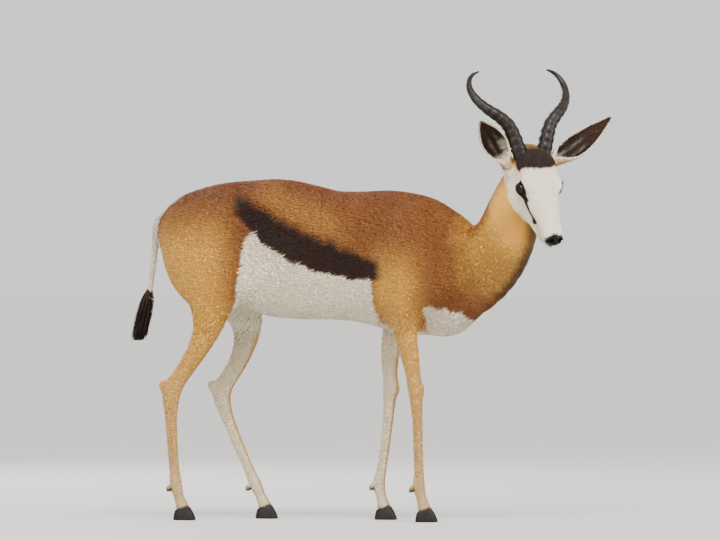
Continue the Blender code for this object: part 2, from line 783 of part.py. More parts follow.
def leg_region(leg, sign):
    """Low and high corners of the box that a leg takes from the trunk."""
    inner = FORE_INNER if leg.startswith("fore") else HIND_INNER
    top = FORE_TOP if leg.startswith("fore") else HIND_TOP
    y0, y1 = FORE_SPANS[leg] if leg.startswith("fore") else HIND_SPAN
    xs = sorted((sign * inner, sign * 0.16))
    return (xs[0], y0, -0.05), (xs[1], y1, top)


def make_torso(flesh):
    """The trunk, closed where the neck and the legs begin."""
    box = ((-0.15, -0.42, 0.40), (0.15, 0.42, 0.88))
    torso = grown("torso", flesh, box, 0.0065, 2800, [(NECK_CUT[0], -NECK_CUT[1])])
    for leg in LEG_ROWS:
        sign = SIDES[leg.split("_")[1]]
        low, high = leg_region(leg, sign)
        cutter = box_cutter(f"{leg}_cutter", np.array(low) - GAP / 2, np.array(high) + GAP / 2)
        boolean(torso, cutter, "DIFFERENCE")
        drop(cutter)
    return torso


def make_neck(flesh):
    """The neck between the trunk and the skull."""
    box = ((-0.15, -0.64, 0.44), (0.12, -0.27, 0.95))
    return grown("neck", flesh, box, 0.005, 1500, [NECK_CUT, (HEAD_CUT[0], -unit(HEAD_CUT[1]))])


def make_head(flesh):
    """The head with its eye sockets, nostrils and the line of its mouth."""
    box = (EYE_MID - HEAD_BOX[0], EYE_MID + HEAD_BOX[1])
    return grown("head", flesh, box, 0.0021, 4050, [HEAD_CUT])


def leg_box(leg, z0, z1):
    """Box round one leg between two heights."""
    rows = np.array([row for row in LEG_ROWS[leg] if z0 - 0.06 < row[2] < z1 + 0.06])
    low = rows[:, :3].min(axis=0) - 0.06
    high = rows[:, :3].max(axis=0) + 0.06
    low[0] = rows[:, 0].min() - 0.066
    high[0] = rows[:, 0].max() + 0.066
    low[2] = z0 - 0.016
    high[2] = z1 + 0.016
    return low, high


def make_leg(flesh, leg):
    """One leg in three solids, from the trunk down to the coronet."""
    kind, side = leg.split("_")
    sign = SIDES[side]
    low, high = leg_region(leg, sign)
    top = high[2]
    knee = CANNON_TOP[kind]
    inner = low[0] if sign > 0 else high[0]
    planes = [
        ((0, 0, top), DOWN),
        ((inner, 0, 0), (sign, 0, 0)),
        ((0, low[1], 0), (0, 1, 0)),
        ((0, high[1], 0), (0, -1, 0)),
        ((0, 0, knee), UP),
    ]
    grown(f"{leg}_upper", flesh, leg_box(leg, knee, top), 0.0042, LEG_BUDGET["upper"], planes)
    planes = [((0, 0, knee), DOWN), ((0, 0, FETLOCK_TOP), UP)]
    box = leg_box(leg, FETLOCK_TOP, knee)
    grown(f"{leg}_cannon", flesh, box, 0.0030, LEG_BUDGET["cannon"], planes)
    planes = [((0, 0, FETLOCK_TOP), DOWN), ((0, HOOF_Y[leg], CORONET), unit((0, CORONET_SLOPE, 1)))]
    box = leg_box(leg, CORONET, FETLOCK_TOP)
    grown(f"{leg}_pastern", flesh, box, 0.0024, LEG_BUDGET["pastern"], planes)


HOOF_OUTLINE = [
    (0.000, -0.0270), (0.0040, -0.0235), (0.0072, -0.0160), (0.0090, -0.0060), (0.0093, 0.0050),
    (0.0082, 0.0150), (0.0050, 0.0220), (0.0000, 0.0240), (-0.0050, 0.0220), (-0.0080, 0.0150),
    (-0.0086, 0.0050), (-0.0080, -0.0060), (-0.0056, -0.0160), (-0.0028, -0.0235),
]
HOOF_CLEFT = 0.0100
HOOF_LEVELS = [(0.0, 1.0, 1.0, 0.0), (0.006, 1.01, 0.98, 0.0015), (0.018, 0.96, 0.82, 0.0038)]
HOOF_TOP = (0.90, 0.63, 0.0060)


def make_hooves(leg):
    """The two claws of a foot, flat on the floor."""
    x = LEG_ROWS[leg][-1][0]
    y = HOOF_Y[leg]
    levels = [*HOOF_LEVELS, (CORONET - GAP / 2, *HOOF_TOP)]
    for name, sign in (("hoof_inner", -1.0), ("hoof_outer", 1.0)):
        away = sign * math.copysign(1.0, x)
        rings = []
        for z, wide, long, back in levels:
            ring = []
            for s, t in HOOF_OUTLINE:
                behind = back + long * t
                height = z * (1.0 - CORONET_SLOPE * behind / CORONET)
                ring.append((x + away * (HOOF_CLEFT + wide * s), y + behind, height))
            rings.append(ring)
        tube(f"{leg}_{name}", rings)


TAIL = [
    (0.000, 0.376, 0.738, 0.0125, 0.0110),
    (0.000, 0.396, 0.730, 0.0120, 0.0105),
    (0.000, 0.409, 0.700, 0.0110, 0.0090),
    (0.000, 0.413, 0.650, 0.0100, 0.0080),
    (0.000, 0.420, 0.592, 0.0090, 0.0072),
    (0.000, 0.426, 0.545, 0.0080, 0.0066),
]
TAIL_END = 0.556
TUFT_CORE = [
    (0.000, 0.4240, 0.566, 0.0082, 0.0068),
    (0.000, 0.4275, 0.540, 0.0085, 0.0075),
    (0.000, 0.4330, 0.515, 0.0080, 0.0080),
    (0.000, 0.4400, 0.490, 0.0050, 0.0055),
]
TUFT_LOCKS = [
    (0.0, 0.536, 0.100, -0.002), (0.9, 0.530, 0.090, 0.006), (1.9, 0.526, 0.094, -0.004),
    (2.8, 0.534, 0.086, 0.005), (3.7, 0.528, 0.096, -0.006), (4.6, 0.533, 0.088, 0.003),
    (5.5, 0.524, 0.098, 0.004), (0.4, 0.512, 0.084, 0.005), (1.4, 0.508, 0.082, -0.005),
    (2.3, 0.515, 0.078, 0.004), (3.3, 0.506, 0.086, -0.003), (5.0, 0.510, 0.080, -0.004),
]
LOCK_SECTIONS = [(0.0, 0.75, 0.8), (0.35, 1.0, 1.0), (0.75, 0.65, 0.7), (1.0, 0.08, 0.15)]
LOCK_WIDE = 0.0058
LOCK_THICK = 0.0024
LOCK_HOLLOW = 0.010
LOCK_ROOT = 0.0045
LOCK_SPREAD = (0.0075, 0.0035)
LOCK_REACH = 0.92
TUFT_TIP = np.array([0.0, 0.459, 0.430])
TUFT_TOP = np.array([0.0, 0.427, 0.545])


def make_lock(name, root, tip, bend):
    """A flat hair lock that tapers and bends from its root to its tip."""
    axis = tip - root
    out = unit(np.cross(axis, np.cross(axis, root - (TUFT_TOP + TUFT_TIP) / 2)) + 1e-6)
    across = unit(np.cross(axis, out))
    rings = []
    for t, width, thick in LOCK_SECTIONS:
        at = root + axis * t + out * (-LOCK_HOLLOW * math.sin(math.pi * t)) + across * bend * t * t
        w = LOCK_WIDE * width
        h = LOCK_THICK * thick
        rings.append([at - across * w, at - out * h, at + across * w, at + out * h])
    return tube(name, rings)


def make_tail(torso):
    """The thin tail and its dark tuft of locks."""
    tail = sweep("tail", TAIL, 9, 15)
    cut(tail, [((0, 0, TAIL_END), UP)])
    boolean(tail, swollen(torso, GAP), "DIFFERENCE")
    drop(bpy.data.objects["torso_swollen"])
    tuft = sweep("tail_tuft", TUFT_CORE, 8, 6)
    cut(tuft, [((0, 0, TAIL_END), DOWN)])
    locks = bpy.data.collections.new("locks")
    for i, (angle, z, length, bend) in enumerate(TUFT_LOCKS):
        t = (TUFT_TOP[2] - z) / (TUFT_TOP[2] - TUFT_TIP[2])
        base = TUFT_TOP + t * (TUFT_TIP - TUFT_TOP)
        round_ = np.array([math.cos(angle), math.sin(angle), 0.0])
        root = base + round_ * LOCK_ROOT
        drift = unit(TUFT_TIP - TUFT_TOP)
        spread = LOCK_SPREAD[0] + LOCK_SPREAD[1] * math.sin(5 * angle)
        tip = root + drift * length * LOCK_REACH + round_ * spread
        lock = helper(make_lock(f"lock_{i}", root, tip, bend))
        locks.objects.link(lock)
    boolean(tuft, locks, "UNION")
    for lock in list(locks.objects):
        drop(lock)
    bpy.data.collections.remove(locks)
    cut(tuft, [((0, 0, TAIL_END), DOWN)])


def sweep(name, rows, around, spans):
    """A tube along rows of x, y, z, half width, half depth."""
    per_span = max(1, round(spans / (len(rows) - 1)))
    loft = Loft(rows, per_span=per_span)
    angles = 2 * math.pi * np.arange(around) / around
    rings = []
    for i in range(len(loft.centre)):
        wide, deep = loft.half[i]
        ring = [
            loft.centre[i] + loft.across[i] * wide * math.cos(a) + loft.deep[i] * deep * math.sin(a)
            for a in angles
        ]
        rings.append(ring)
    return tube(name, rings)


HORN = [
    (0.022, -0.030, 0.052, 0.0174), (0.029, -0.034, 0.074, 0.0176), (0.037, -0.036, 0.098, 0.0174),
    (0.046, -0.039, 0.126, 0.0168), (0.057, -0.043, 0.151, 0.0158), (0.077, -0.049, 0.172, 0.0144),
    (0.101, -0.062, 0.191, 0.0126), (0.120, -0.081, 0.214, 0.0105), (0.128, -0.100, 0.239, 0.0083),
    (0.123, -0.114, 0.261, 0.0062), (0.110, -0.121, 0.275, 0.0043), (0.092, -0.122, 0.283, 0.0018),
]
HORN_SPANS = 4
HORN_AROUND = 9
RINGS_START = 0.12
RINGS_END = 0.72
RING_COUNT = 9
RING_HEIGHT = 0.13


def make_horn(side, head_grown):
    """A ringed horn on its lyre curve, cut to sit on the skull."""
    sign = SIDES[side]
    dense = catmull(HORN, HORN_SPANS)
    centre = EYE_MID + dense[:, :1] * sign * LEFT + dense[:, 1:2] * HEADING + dense[:, 2:3] * RISE
    along = np.gradient(centre, axis=0)
    along /= np.linalg.norm(along, axis=1)[:, None]
    travel = np.concatenate([[0.0], np.cumsum(np.linalg.norm(np.diff(centre, axis=0), axis=1))])
    travel /= travel[-1]
    rings = []
    angles = 2 * math.pi * np.arange(HORN_AROUND) / HORN_AROUND
    for i, t in enumerate(travel):
        across = unit(LEFT - along[i] * (along[i] @ LEFT))
        deep = np.cross(along[i], across)
        phase = (t - RINGS_START) / (RINGS_END - RINGS_START)
        swell = 0.0
        if 0.0 <= phase <= 1.0:
            swell = RING_HEIGHT * (0.5 - 0.5 * math.cos(2 * math.pi * RING_COUNT * phase)) * (1 - 0.5 * phase)
        radius = dense[i, 3] * (1.0 + swell)
        rings.append(
            [centre[i] + radius * (across * math.cos(a) + deep * math.sin(a)) for a in angles]
        )
    horn = tube(f"horn_{side}", rings)
    return boolean(horn, head_grown, "DIFFERENCE")


EAR_BASE = (-0.077, 0.053, -0.018)
EAR_REACH = {"right": (0.098, 0.056, 0.106), "left": (0.150, 0.047, 0.105)}
EAR_OPENING = {"right": (0.32, 0.88, -0.25), "left": (-0.55, 0.70, 0.35)}
EAR_SECTIONS = [
    (-0.24, 0.0100, 0.0105, 173.0, 0.0098), (-0.06, 0.0150, 0.0150, 173.0, 0.0140),
    (0.08, 0.0172, 0.0165, 166.0, 0.0130), (0.16, 0.0205, 0.0180, 138.0, 0.0075),
    (0.25, 0.0255, 0.0190, 111.0, 0.0038), (0.36, 0.0305, 0.0185, 96.0, 0.0032),
    (0.48, 0.0315, 0.0165, 92.0, 0.0032), (0.60, 0.0295, 0.0138, 90.0, 0.0032),
    (0.72, 0.0245, 0.0105, 90.0, 0.0032), (0.83, 0.0178, 0.0075, 90.0, 0.0030),
    (0.92, 0.0112, 0.0050, 90.0, 0.0022), (0.975, 0.0064, 0.0034, 90.0, 0.0015),
    (1.00, 0.0036, 0.0022, 90.0, 0.0010),
]
EAR_BOW = 0.012
EAR_ROOT_TURN = 0.10
EAR_ARC = 6
EAR_LINING_ARC = 0.97


def ear_rings(side):
    """Crescent sections of one ear from its rolled base to its tip."""
    sign = SIDES[side]
    base = head_point(EAR_BASE[0], sign * EAR_BASE[1], EAR_BASE[2])
    out, ahead, up = EAR_REACH[side]
    reach = out * sign * LEFT + ahead * HEADING + up * RISE
    aside, front, above = EAR_OPENING[side]
    opening = unit(aside * sign * LEFT + front * HEADING + above * RISE)
    opening = unit(opening - reach * (reach @ opening) / (reach @ reach))
    width = unit(np.cross(reach, opening))
    rings = []
    for t, wide, deep, arc, wall in EAR_SECTIONS:
        at = base + reach * t - opening * EAR_BOW * math.sin(math.pi * max(t, 0.0))
        at -= sign * LEFT * EAR_ROOT_TURN * max(-t, 0.0)
        angles = np.radians(arc) * np.linspace(-1.0, 1.0, EAR_ARC + 1)
        outer = [at + width * wide * math.sin(a) - opening * deep * math.cos(a) for a in angles]
        inner = [
            at + width * (wide - wall) * math.sin(a) - opening * (deep - wall) * math.cos(a)
            for a in EAR_LINING_ARC * angles[::-1]
        ]
        rings.append(outer + inner)
    return rings


def make_ear(side, head_grown):
    """A cupped ear cut to sit on the head."""
    ear = tube(f"ear_{side}", ear_rings(side))
    return boolean(ear, head_grown, "DIFFERENCE", "MANIFOLD")


def make_eye(side, head):
    """An eyeball, and its socket in the head."""
    sizes = (("eye", 0.0), ("socket", GAP))
    for kind, more in sizes:
        bm = bmesh.new()
        bmesh.ops.create_uvsphere(bm, u_segments=20, v_segments=10, radius=EYE_RADIUS + more)
        mesh = bpy.data.meshes.new(f"{kind}_{side}")
        bm.to_mesh(mesh)
        bm.free()
        obj = bpy.data.objects.new(mesh.name, mesh)
        bpy.context.scene.collection.objects.link(obj)
        mesh.transform(Matrix.Translation(Vector(eye_centre(SIDES[side]))))
    socket = helper(bpy.data.objects[f"socket_{side}"])
    boolean(head, socket, "DIFFERENCE")
    drop(socket)


FINISHES = {
    "horn": ((0.050, 0.040, 0.033), 0.45),
    "hoof": ((0.030, 0.026, 0.024), 0.40),
    "eye": ((0.015, 0.009, 0.006), 0.08),
    "ear": ((0.45, 0.36, 0.27), 0.85),
    "tail_tuft": ((0.035, 0.024, 0.018), 0.80),
    "tail": ((0.72, 0.66, 0.57), 0.85),
    "head": ((0.74, 0.68, 0.58), 0.85),
    "neck": ((0.47, 0.25, 0.10), 0.85),
    "cannon": ((0.60, 0.46, 0.31), 0.85),
    "pastern": ((0.56, 0.42, 0.28), 0.85),
    "upper": ((0.52, 0.33, 0.17), 0.85),
    "torso": ((0.42, 0.20, 0.08), 0.85),
}


def paint(obj):
    """Gives a node its own material, by what it is, and smooth shading with crisp cuts."""
    kind = next(word for word in FINISHES if word in obj.name)
    colour, roughness = FINISHES[kind]
    material = bpy.data.materials.new(f"{obj.name}_{kind}")
    material.use_nodes = True
    shader = material.node_tree.nodes["Principled BSDF"]
    shader.inputs["Base Color"].default_value = (*colour, 1.0)
    shader.inputs["Roughness"].default_value = roughness
    shader.inputs["Metallic"].default_value = 0.0
    obj.data.materials.clear()
    obj.data.materials.append(material)
    obj.data.shade_smooth()
    obj.data.set_sharp_from_angle(angle=SHARP_EDGE)


def stand_on_origin():
    """Parents every node to one empty that sets the animal's box centred over the origin."""
    nodes = [obj for obj in bpy.data.objects if obj.type == "MESH"]
    points = np.array([v.co for obj in nodes for v in obj.data.vertices])
    low, high = points.min(axis=0), points.max(axis=0)
    stance = bpy.data.objects.new("springbok", None)
    bpy.context.scene.collection.objects.link(stance)
    stance.location = (-(low[0] + high[0]) / 2, -(low[1] + high[1]) / 2, -low[2])
    for obj in nodes:
        obj.parent = stance


def main():
    """Builds every node."""
    for obj in list(bpy.data.objects):
        bpy.data.objects.remove(obj)
    flesh = whole_flesh()
    torso = make_torso(flesh)
    make_neck(flesh)
    head = make_head(flesh)
    for side in SIDES:
        make_eye(side, head)
    head_grown = swollen(head, GAP)
    for side in SIDES:
        make_ear(side, head_grown)
        make_horn(side, head_grown)
    drop(head_grown)
    for leg in LEG_ROWS:
        make_leg(flesh, leg)
        make_hooves(leg)
    make_tail(torso)
    for obj in bpy.data.objects:
        paint(obj)
    stand_on_origin()


if __name__ == "__main__":
    main()
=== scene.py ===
"""Springbok ram, life size, standing with its head turned to its right: skin, short coat, horns,
ears, eyes, hooves and tail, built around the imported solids.

The animal faces -Y with +Z up, so its right side is at -X. Lengths are metres. Shapes are worked
out in the animal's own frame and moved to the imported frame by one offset.
"""

from __future__ import annotations

import logging
import math
from dataclasses import dataclass, field
from enum import Enum
from typing import Callable, Sequence

import bmesh
import bpy
import numpy as np
from mathutils import Matrix, Vector
from mathutils.bvhtree import BVHTree

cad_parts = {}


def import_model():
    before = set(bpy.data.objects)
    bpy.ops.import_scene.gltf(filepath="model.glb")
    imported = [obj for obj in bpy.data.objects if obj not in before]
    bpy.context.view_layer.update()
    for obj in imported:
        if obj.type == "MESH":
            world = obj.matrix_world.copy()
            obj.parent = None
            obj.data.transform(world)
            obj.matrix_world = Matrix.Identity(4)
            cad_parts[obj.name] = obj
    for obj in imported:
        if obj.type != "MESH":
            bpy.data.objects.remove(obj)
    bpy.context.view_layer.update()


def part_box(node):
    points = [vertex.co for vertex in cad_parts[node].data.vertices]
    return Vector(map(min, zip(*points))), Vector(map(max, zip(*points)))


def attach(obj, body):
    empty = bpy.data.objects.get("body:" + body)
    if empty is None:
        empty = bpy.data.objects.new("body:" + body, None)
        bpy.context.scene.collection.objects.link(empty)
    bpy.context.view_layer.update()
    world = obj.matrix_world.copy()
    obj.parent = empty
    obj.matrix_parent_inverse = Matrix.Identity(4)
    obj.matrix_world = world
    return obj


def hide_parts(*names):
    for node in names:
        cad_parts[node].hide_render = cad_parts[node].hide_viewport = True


LOG = logging.getLogger("springbok")
Array = np.ndarray
Row = Sequence[float]

FAR = 1.0
REACH = 0.045
BLOCK = 4
BODY = "root"


def unit(vector: Row) -> Array:
    """The vector at length one."""
    vector = np.asarray(vector, float)
    return vector / np.linalg.norm(vector)


def units(vectors: Array) -> Array:
    """Each row at length one."""
    return vectors / np.maximum(np.linalg.norm(vectors, axis=1), 1e-9)[:, None]


def ramp(value: Array, low: float, high: float) -> Array:
    """Smooth step from 0 at low to 1 at high."""
    t = np.clip((value - low) / (high - low), 0.0, 1.0)
    return t * t * (3.0 - 2.0 * t)


def mix(a: Array, b: Array, share: Array) -> Array:
    """Rows of a and b mixed by a share for each row."""
    share = np.asarray(share)[:, None]
    return a * (1.0 - share) + b * share


def smooth_min(a: Array, b: Array, radius: float) -> Array:
    """Union of two fields, rounded over the radius."""
    near = np.maximum(radius - np.abs(a - b), 0.0) / radius
    return np.minimum(a, b) - near * near * radius * 0.25


def smooth_max(a: Array, b: Array, radius: float) -> Array:
    """Meeting of two fields, rounded over the radius."""
    return -smooth_min(-a, -b, radius)


def wobble(points: Array, wave: float, seed: int) -> Array:
    """A soft irregular value between about -1 and 1 at each point.

    Args:
        points: Places, one a row.
        wave: Length over which the value changes, in metres.
        seed: Picks one of many such patterns.

    Returns:
        One value for each point.
    """
    rng = np.random.default_rng(seed)
    total = np.zeros(len(points))
    for _ in range(7):
        direction = unit(rng.normal(size=3)) * rng.uniform(0.6, 1.7)
        phase = rng.uniform(0, 2 * math.pi)
        total += np.sin(points @ direction * (2 * math.pi / wave) + phase)
    return total / 4.0


def catmull(rows: Sequence[Row], per_span: int) -> Array:
    """Rows resampled along a Catmull-Rom curve that passes through each of them.

    Args:
        rows: The rows that the curve passes through.
        per_span: Number of steps between one row and the next.

    Returns:
        The resampled rows, the last one included.
    """
    rows = np.asarray(rows, float)
    ends = np.vstack([2 * rows[0] - rows[1], rows, 2 * rows[-1] - rows[-2]])
    out = []
    for i in range(len(rows) - 1):
        p0, p1, p2, p3 = ends[i : i + 4]
        for step in range(per_span):
            t = step / per_span
            bend = (2 * p0 - 5 * p1 + 4 * p2 - p3) * t * t + (3 * p1 - p0 - 3 * p2 + p3) * t**3
            out.append(0.5 * (2 * p1 + (p2 - p0) * t + bend))
    out.append(rows[-1])
    return np.array(out)


@dataclass
class Loft:
    """A chain of rounded sections: rows are x, y, z, half width, half depth."""

    rows: Sequence[Row]
    side: Row = (1.0, 0.0, 0.0)
    blend: float = 0.03
    power: float = 2.0
    egg: float = 0.0
    per_span: int = 3
    centre: Array = field(init=False)
    half: Array = field(init=False)
    across: Array = field(init=False)
    deep: Array = field(init=False)
    along: Array = field(init=False)

    def __post_init__(self) -> None:
        """Works out the sections and the directions across, deep and along at each."""
        dense = catmull(self.rows, self.per_span)
        self.centre = dense[:, :3]
        self.half = np.maximum(dense[:, 3:5], 0.0015)
        self.along = units(np.gradient(self.centre, axis=0))
        side = np.asarray(self.side, float)
        self.across = units(side - self.along * (self.along @ side)[:, None])
        self.deep = np.cross(self.across, self.along)

    def box(self) -> tuple[Array, Array]:
        """Low and high corners that hold the whole chain."""
        reach = self.half.max(axis=1)[:, None]
        return (self.centre - reach).min(axis=0), (self.centre + reach).max(axis=0)

    def value(self, points: Array) -> Array:
        """Signed distance, near enough, from the chain's skin.

        Args:
            points: Places, one a row.

        Returns:
            One distance for each point, negative inside.
        """
        columns = np.ascontiguousarray(points.T)
        best = np.full(len(points), FAR)
        for i in range(len(self.centre) - 1):
            a, b = self.centre[i], self.centre[i + 1]
            span = b - a
            reach = np.abs(span) / 2 + self.half[i : i + 2].max() + REACH
            offset = np.abs(columns - ((a + b) / 2)[:, None]) < reach[:, None]
            near = np.flatnonzero(offset[0] & offset[1] & offset[2])
            if not len(near):
                continue
            q = columns[:, near] - a[:, None]
            t = np.clip(span @ q / (span @ span), 0.0, 1.0)
            q -= span[:, None] * t
            wide = self.half[i, 0] + t * (self.half[i + 1, 0] - self.half[i, 0])
            deep = self.half[i, 1] + t * (self.half[i + 1, 1] - self.half[i, 1])
            turned = [
                frame[i] @ q + t * ((frame[i + 1] - frame[i]) @ q)
                for frame in (self.across, self.deep, self.along)
            ]
            down = turned[1] / deep
            if self.egg:
                wide = wide * (1.0 + self.egg * np.clip(down, -1.2, 1.2))
            parts = (turned[0] / wide, down, turned[2] / (0.45 * (wide + deep)))
            if self.power == 2.0:
                k = np.sqrt(parts[0] ** 2 + parts[1] ** 2 + parts[2] ** 2)
            else:
                k = sum(np.abs(part) ** self.power for part in parts) ** (1.0 / self.power)
            length = np.sqrt(q[0] ** 2 + q[1] ** 2 + q[2] ** 2)
            inner = -self.half[i : i + 2].min()
            value = np.where(k > 1e-4, length * (1.0 - 1.0 / np.maximum(k, 1e-4)), inner)
            best[near] = np.minimum(best[near], value)
        return best


@dataclass
class Ball:
    """An ellipsoid: centre, half sizes, and its own axes as rows."""

    centre: Row
    half: Row
    axes: Sequence[Row] = ((1.0, 0.0, 0.0), (0.0, 1.0, 0.0), (0.0, 0.0, 1.0))
    blend: float = 0.03

    def box(self) -> tuple[Array, Array]:
        """Low and high corners that hold the ellipsoid."""
        centre = np.asarray(self.centre, float)
        return centre - max(self.half), centre + max(self.half)

    def value(self, points: Array) -> Array:
        """Signed distance, near enough, from the ellipsoid, one for each point."""
        q = np.asarray(self.axes, float) @ (points - np.asarray(self.centre, float)).T
        k = np.sqrt(sum((part / half) ** 2 for part, half in zip(q, self.half)))
        length = np.sqrt(q[0] ** 2 + q[1] ** 2 + q[2] ** 2)
        return np.where(k > 1e-4, length * (1.0 - 1.0 / np.maximum(k, 1e-4)), -min(self.half))


def held(points: Array, shape: Loft | Ball, pad: float) -> Array:
    """Indices of the points in the shape's box, padded."""
    low, high = shape.box()
    inside = [(points[:, n] > low[n] - pad) & (points[:, n] < high[n] + pad) for n in range(3)]
    return np.flatnonzero(inside[0] & inside[1] & inside[2])


@dataclass
class Flesh:
    """Shapes joined by smooth unions, then hollows taken away."""

    solids: list
    hollows: list = field(default_factory=list)

    def value(self, points: Array) -> Array:
        """Signed distance of the joined shapes at each point."""
        out = np.full(len(points), FAR)
        for shape in self.solids:
            near = held(points, shape, REACH)
            if len(near):
                out[near] = smooth_min(out[near], shape.value(points[near]), shape.blend)
        for shape in self.hollows:
            near = held(points, shape, 0.02)
            if len(near):
                out[near] = smooth_max(out[near], -shape.value(points[near]), shape.blend)
        return out


def tilt(pitch: float, yaw: float = 0.0) -> Array:
    """Axes of a shape pitched about X, then turned about Z, in degrees, as rows."""
    p = math.radians(pitch)
    w = math.radians(yaw)
    rows = np.array([[1, 0, 0], [0, math.cos(p), math.sin(p)], [0, -math.sin(p), math.cos(p)]])
    turn = np.array([[math.cos(w), math.sin(w), 0], [-math.sin(w), math.cos(w), 0], [0, 0, 1]])
    return rows @ turn


UP = np.array([0.0, 0.0, 1.0])
SIDES = {"right": -1.0, "left": 1.0}


class Pose:
    """Where the head is and how it is turned."""

    EYES = np.array([-0.102, -0.577, 0.811])
    TURN = math.radians(50.0)
    PITCH = math.radians(57.0)
    ROLL = math.radians(2.0)
    HEADING = np.array([-math.sin(TURN), -math.cos(TURN), 0.0])
    LEVEL = np.array([math.cos(TURN), -math.sin(TURN), 0.0])
    LEFT = LEVEL * math.cos(ROLL) + UP * math.sin(ROLL)
    RISE = UP * math.cos(ROLL) - LEVEL * math.sin(ROLL)
    FORWARD = HEADING * math.cos(PITCH) - RISE * math.sin(PITCH)
    DORSAL = HEADING * math.sin(PITCH) + RISE * math.cos(PITCH)
    AXES = np.array([FORWARD, LEFT, DORSAL])

    @classmethod
    def at(cls, ahead: float, left: float, above: float) -> Array:
        """Place from distances ahead of, left of and above the middle of the eyes."""
        return cls.EYES + ahead * cls.FORWARD + left * cls.LEFT + above * cls.DORSAL

    @classmethod
    def local(cls, points: Array) -> Array:
        """Distances ahead, left and above the middle of the eyes, one row for each point."""
        return (points - cls.EYES) @ cls.AXES.T

    @classmethod
    def loft(cls, rows: Sequence[Row], blend: float, **more: float) -> Loft:
        """A loft given in the head's own directions."""
        placed = [(*cls.at(*row[:3]), row[3], row[4]) for row in rows]
        return Loft(placed, side=tuple(cls.LEFT), blend=blend, **more)

    @classmethod
    def ball(
        cls, at: Row, half: Row, blend: float, turn: float = 0.0, lean: float = 0.0
    ) -> Ball:
        """An ellipsoid in the head's own directions.

        Args:
            at: Distances ahead, left and above the middle of the eyes.
            half: Half sizes ahead, across and above.
            blend: Rounding where it joins.
            turn: Degrees about the head's dorsal direction.
            lean: Degrees about its left.

        Returns:
            The placed ellipsoid.
        """
        a, b = math.radians(turn), math.radians(lean)
        spin = np.array([[math.cos(a), math.sin(a), 0], [-math.sin(a), math.cos(a), 0], [0, 0, 1]])
        nod = np.array([[math.cos(b), 0, math.sin(b)], [0, 1, 0], [-math.sin(b), 0, math.cos(b)]])
        return Ball(tuple(cls.at(*at)), half, nod @ spin @ cls.AXES, blend)
TRUNK = [
    (0, -0.345, 0.590, 0.049, 0.100),
    (0, -0.300, 0.598, 0.070, 0.142),
    (0, -0.260, 0.610, 0.081, 0.160),
    (0, -0.220, 0.621, 0.087, 0.163),
    (0, -0.170, 0.633, 0.095, 0.161),
    (0, -0.100, 0.643, 0.102, 0.158),
    (0, -0.030, 0.647, 0.108, 0.158),
    (0, 0.030, 0.654, 0.111, 0.165),
    (0, 0.090, 0.663, 0.107, 0.169),
    (0, 0.140, 0.674, 0.102, 0.160),
    (0, 0.190, 0.690, 0.096, 0.140),
    (0, 0.240, 0.702, 0.090, 0.120),
    (0, 0.300, 0.708, 0.079, 0.095),
    (0, 0.345, 0.706, 0.062, 0.068),
    (0, 0.372, 0.704, 0.045, 0.048),
]

NECK = [
    (0.000, -0.200, 0.650, 0.070, 0.100),
    (0.000, -0.290, 0.618, 0.070, 0.132),
    (-0.004, -0.365, 0.603, 0.064, 0.112),
    (-0.016, -0.430, 0.632, 0.058, 0.090),
    (-0.034, -0.475, 0.686, 0.054, 0.077),
    (-0.046, -0.500, 0.748, 0.050, 0.068),
    (-0.049, -0.521, 0.805, 0.046, 0.058),
    (-0.047, -0.541, 0.852, 0.040, 0.044),
]

SHOULDER_BALLS = [
    ((0.060, -0.228, 0.655), (0.034, 0.066, 0.112), 14.0, 0.0),
    ((0.066, -0.300, 0.575), (0.032, 0.046, 0.052), 0.0, 0.0),
    ((0.072, -0.215, 0.560), (0.030, 0.055, 0.060), -24.0, 0.0),
]

THIGH_BALLS = [
    ((0.064, 0.262, 0.655), (0.046, 0.092, 0.120), 8.0, 0.0),
    ((0.062, 0.195, 0.610), (0.038, 0.052, 0.075), 22.0, 0.0),
    ((0.050, 0.325, 0.640), (0.036, 0.044, 0.100), -12.0, 0.0),
    ((0.056, 0.160, 0.760), (0.040, 0.060, 0.035), 0.0, 0.0),
]

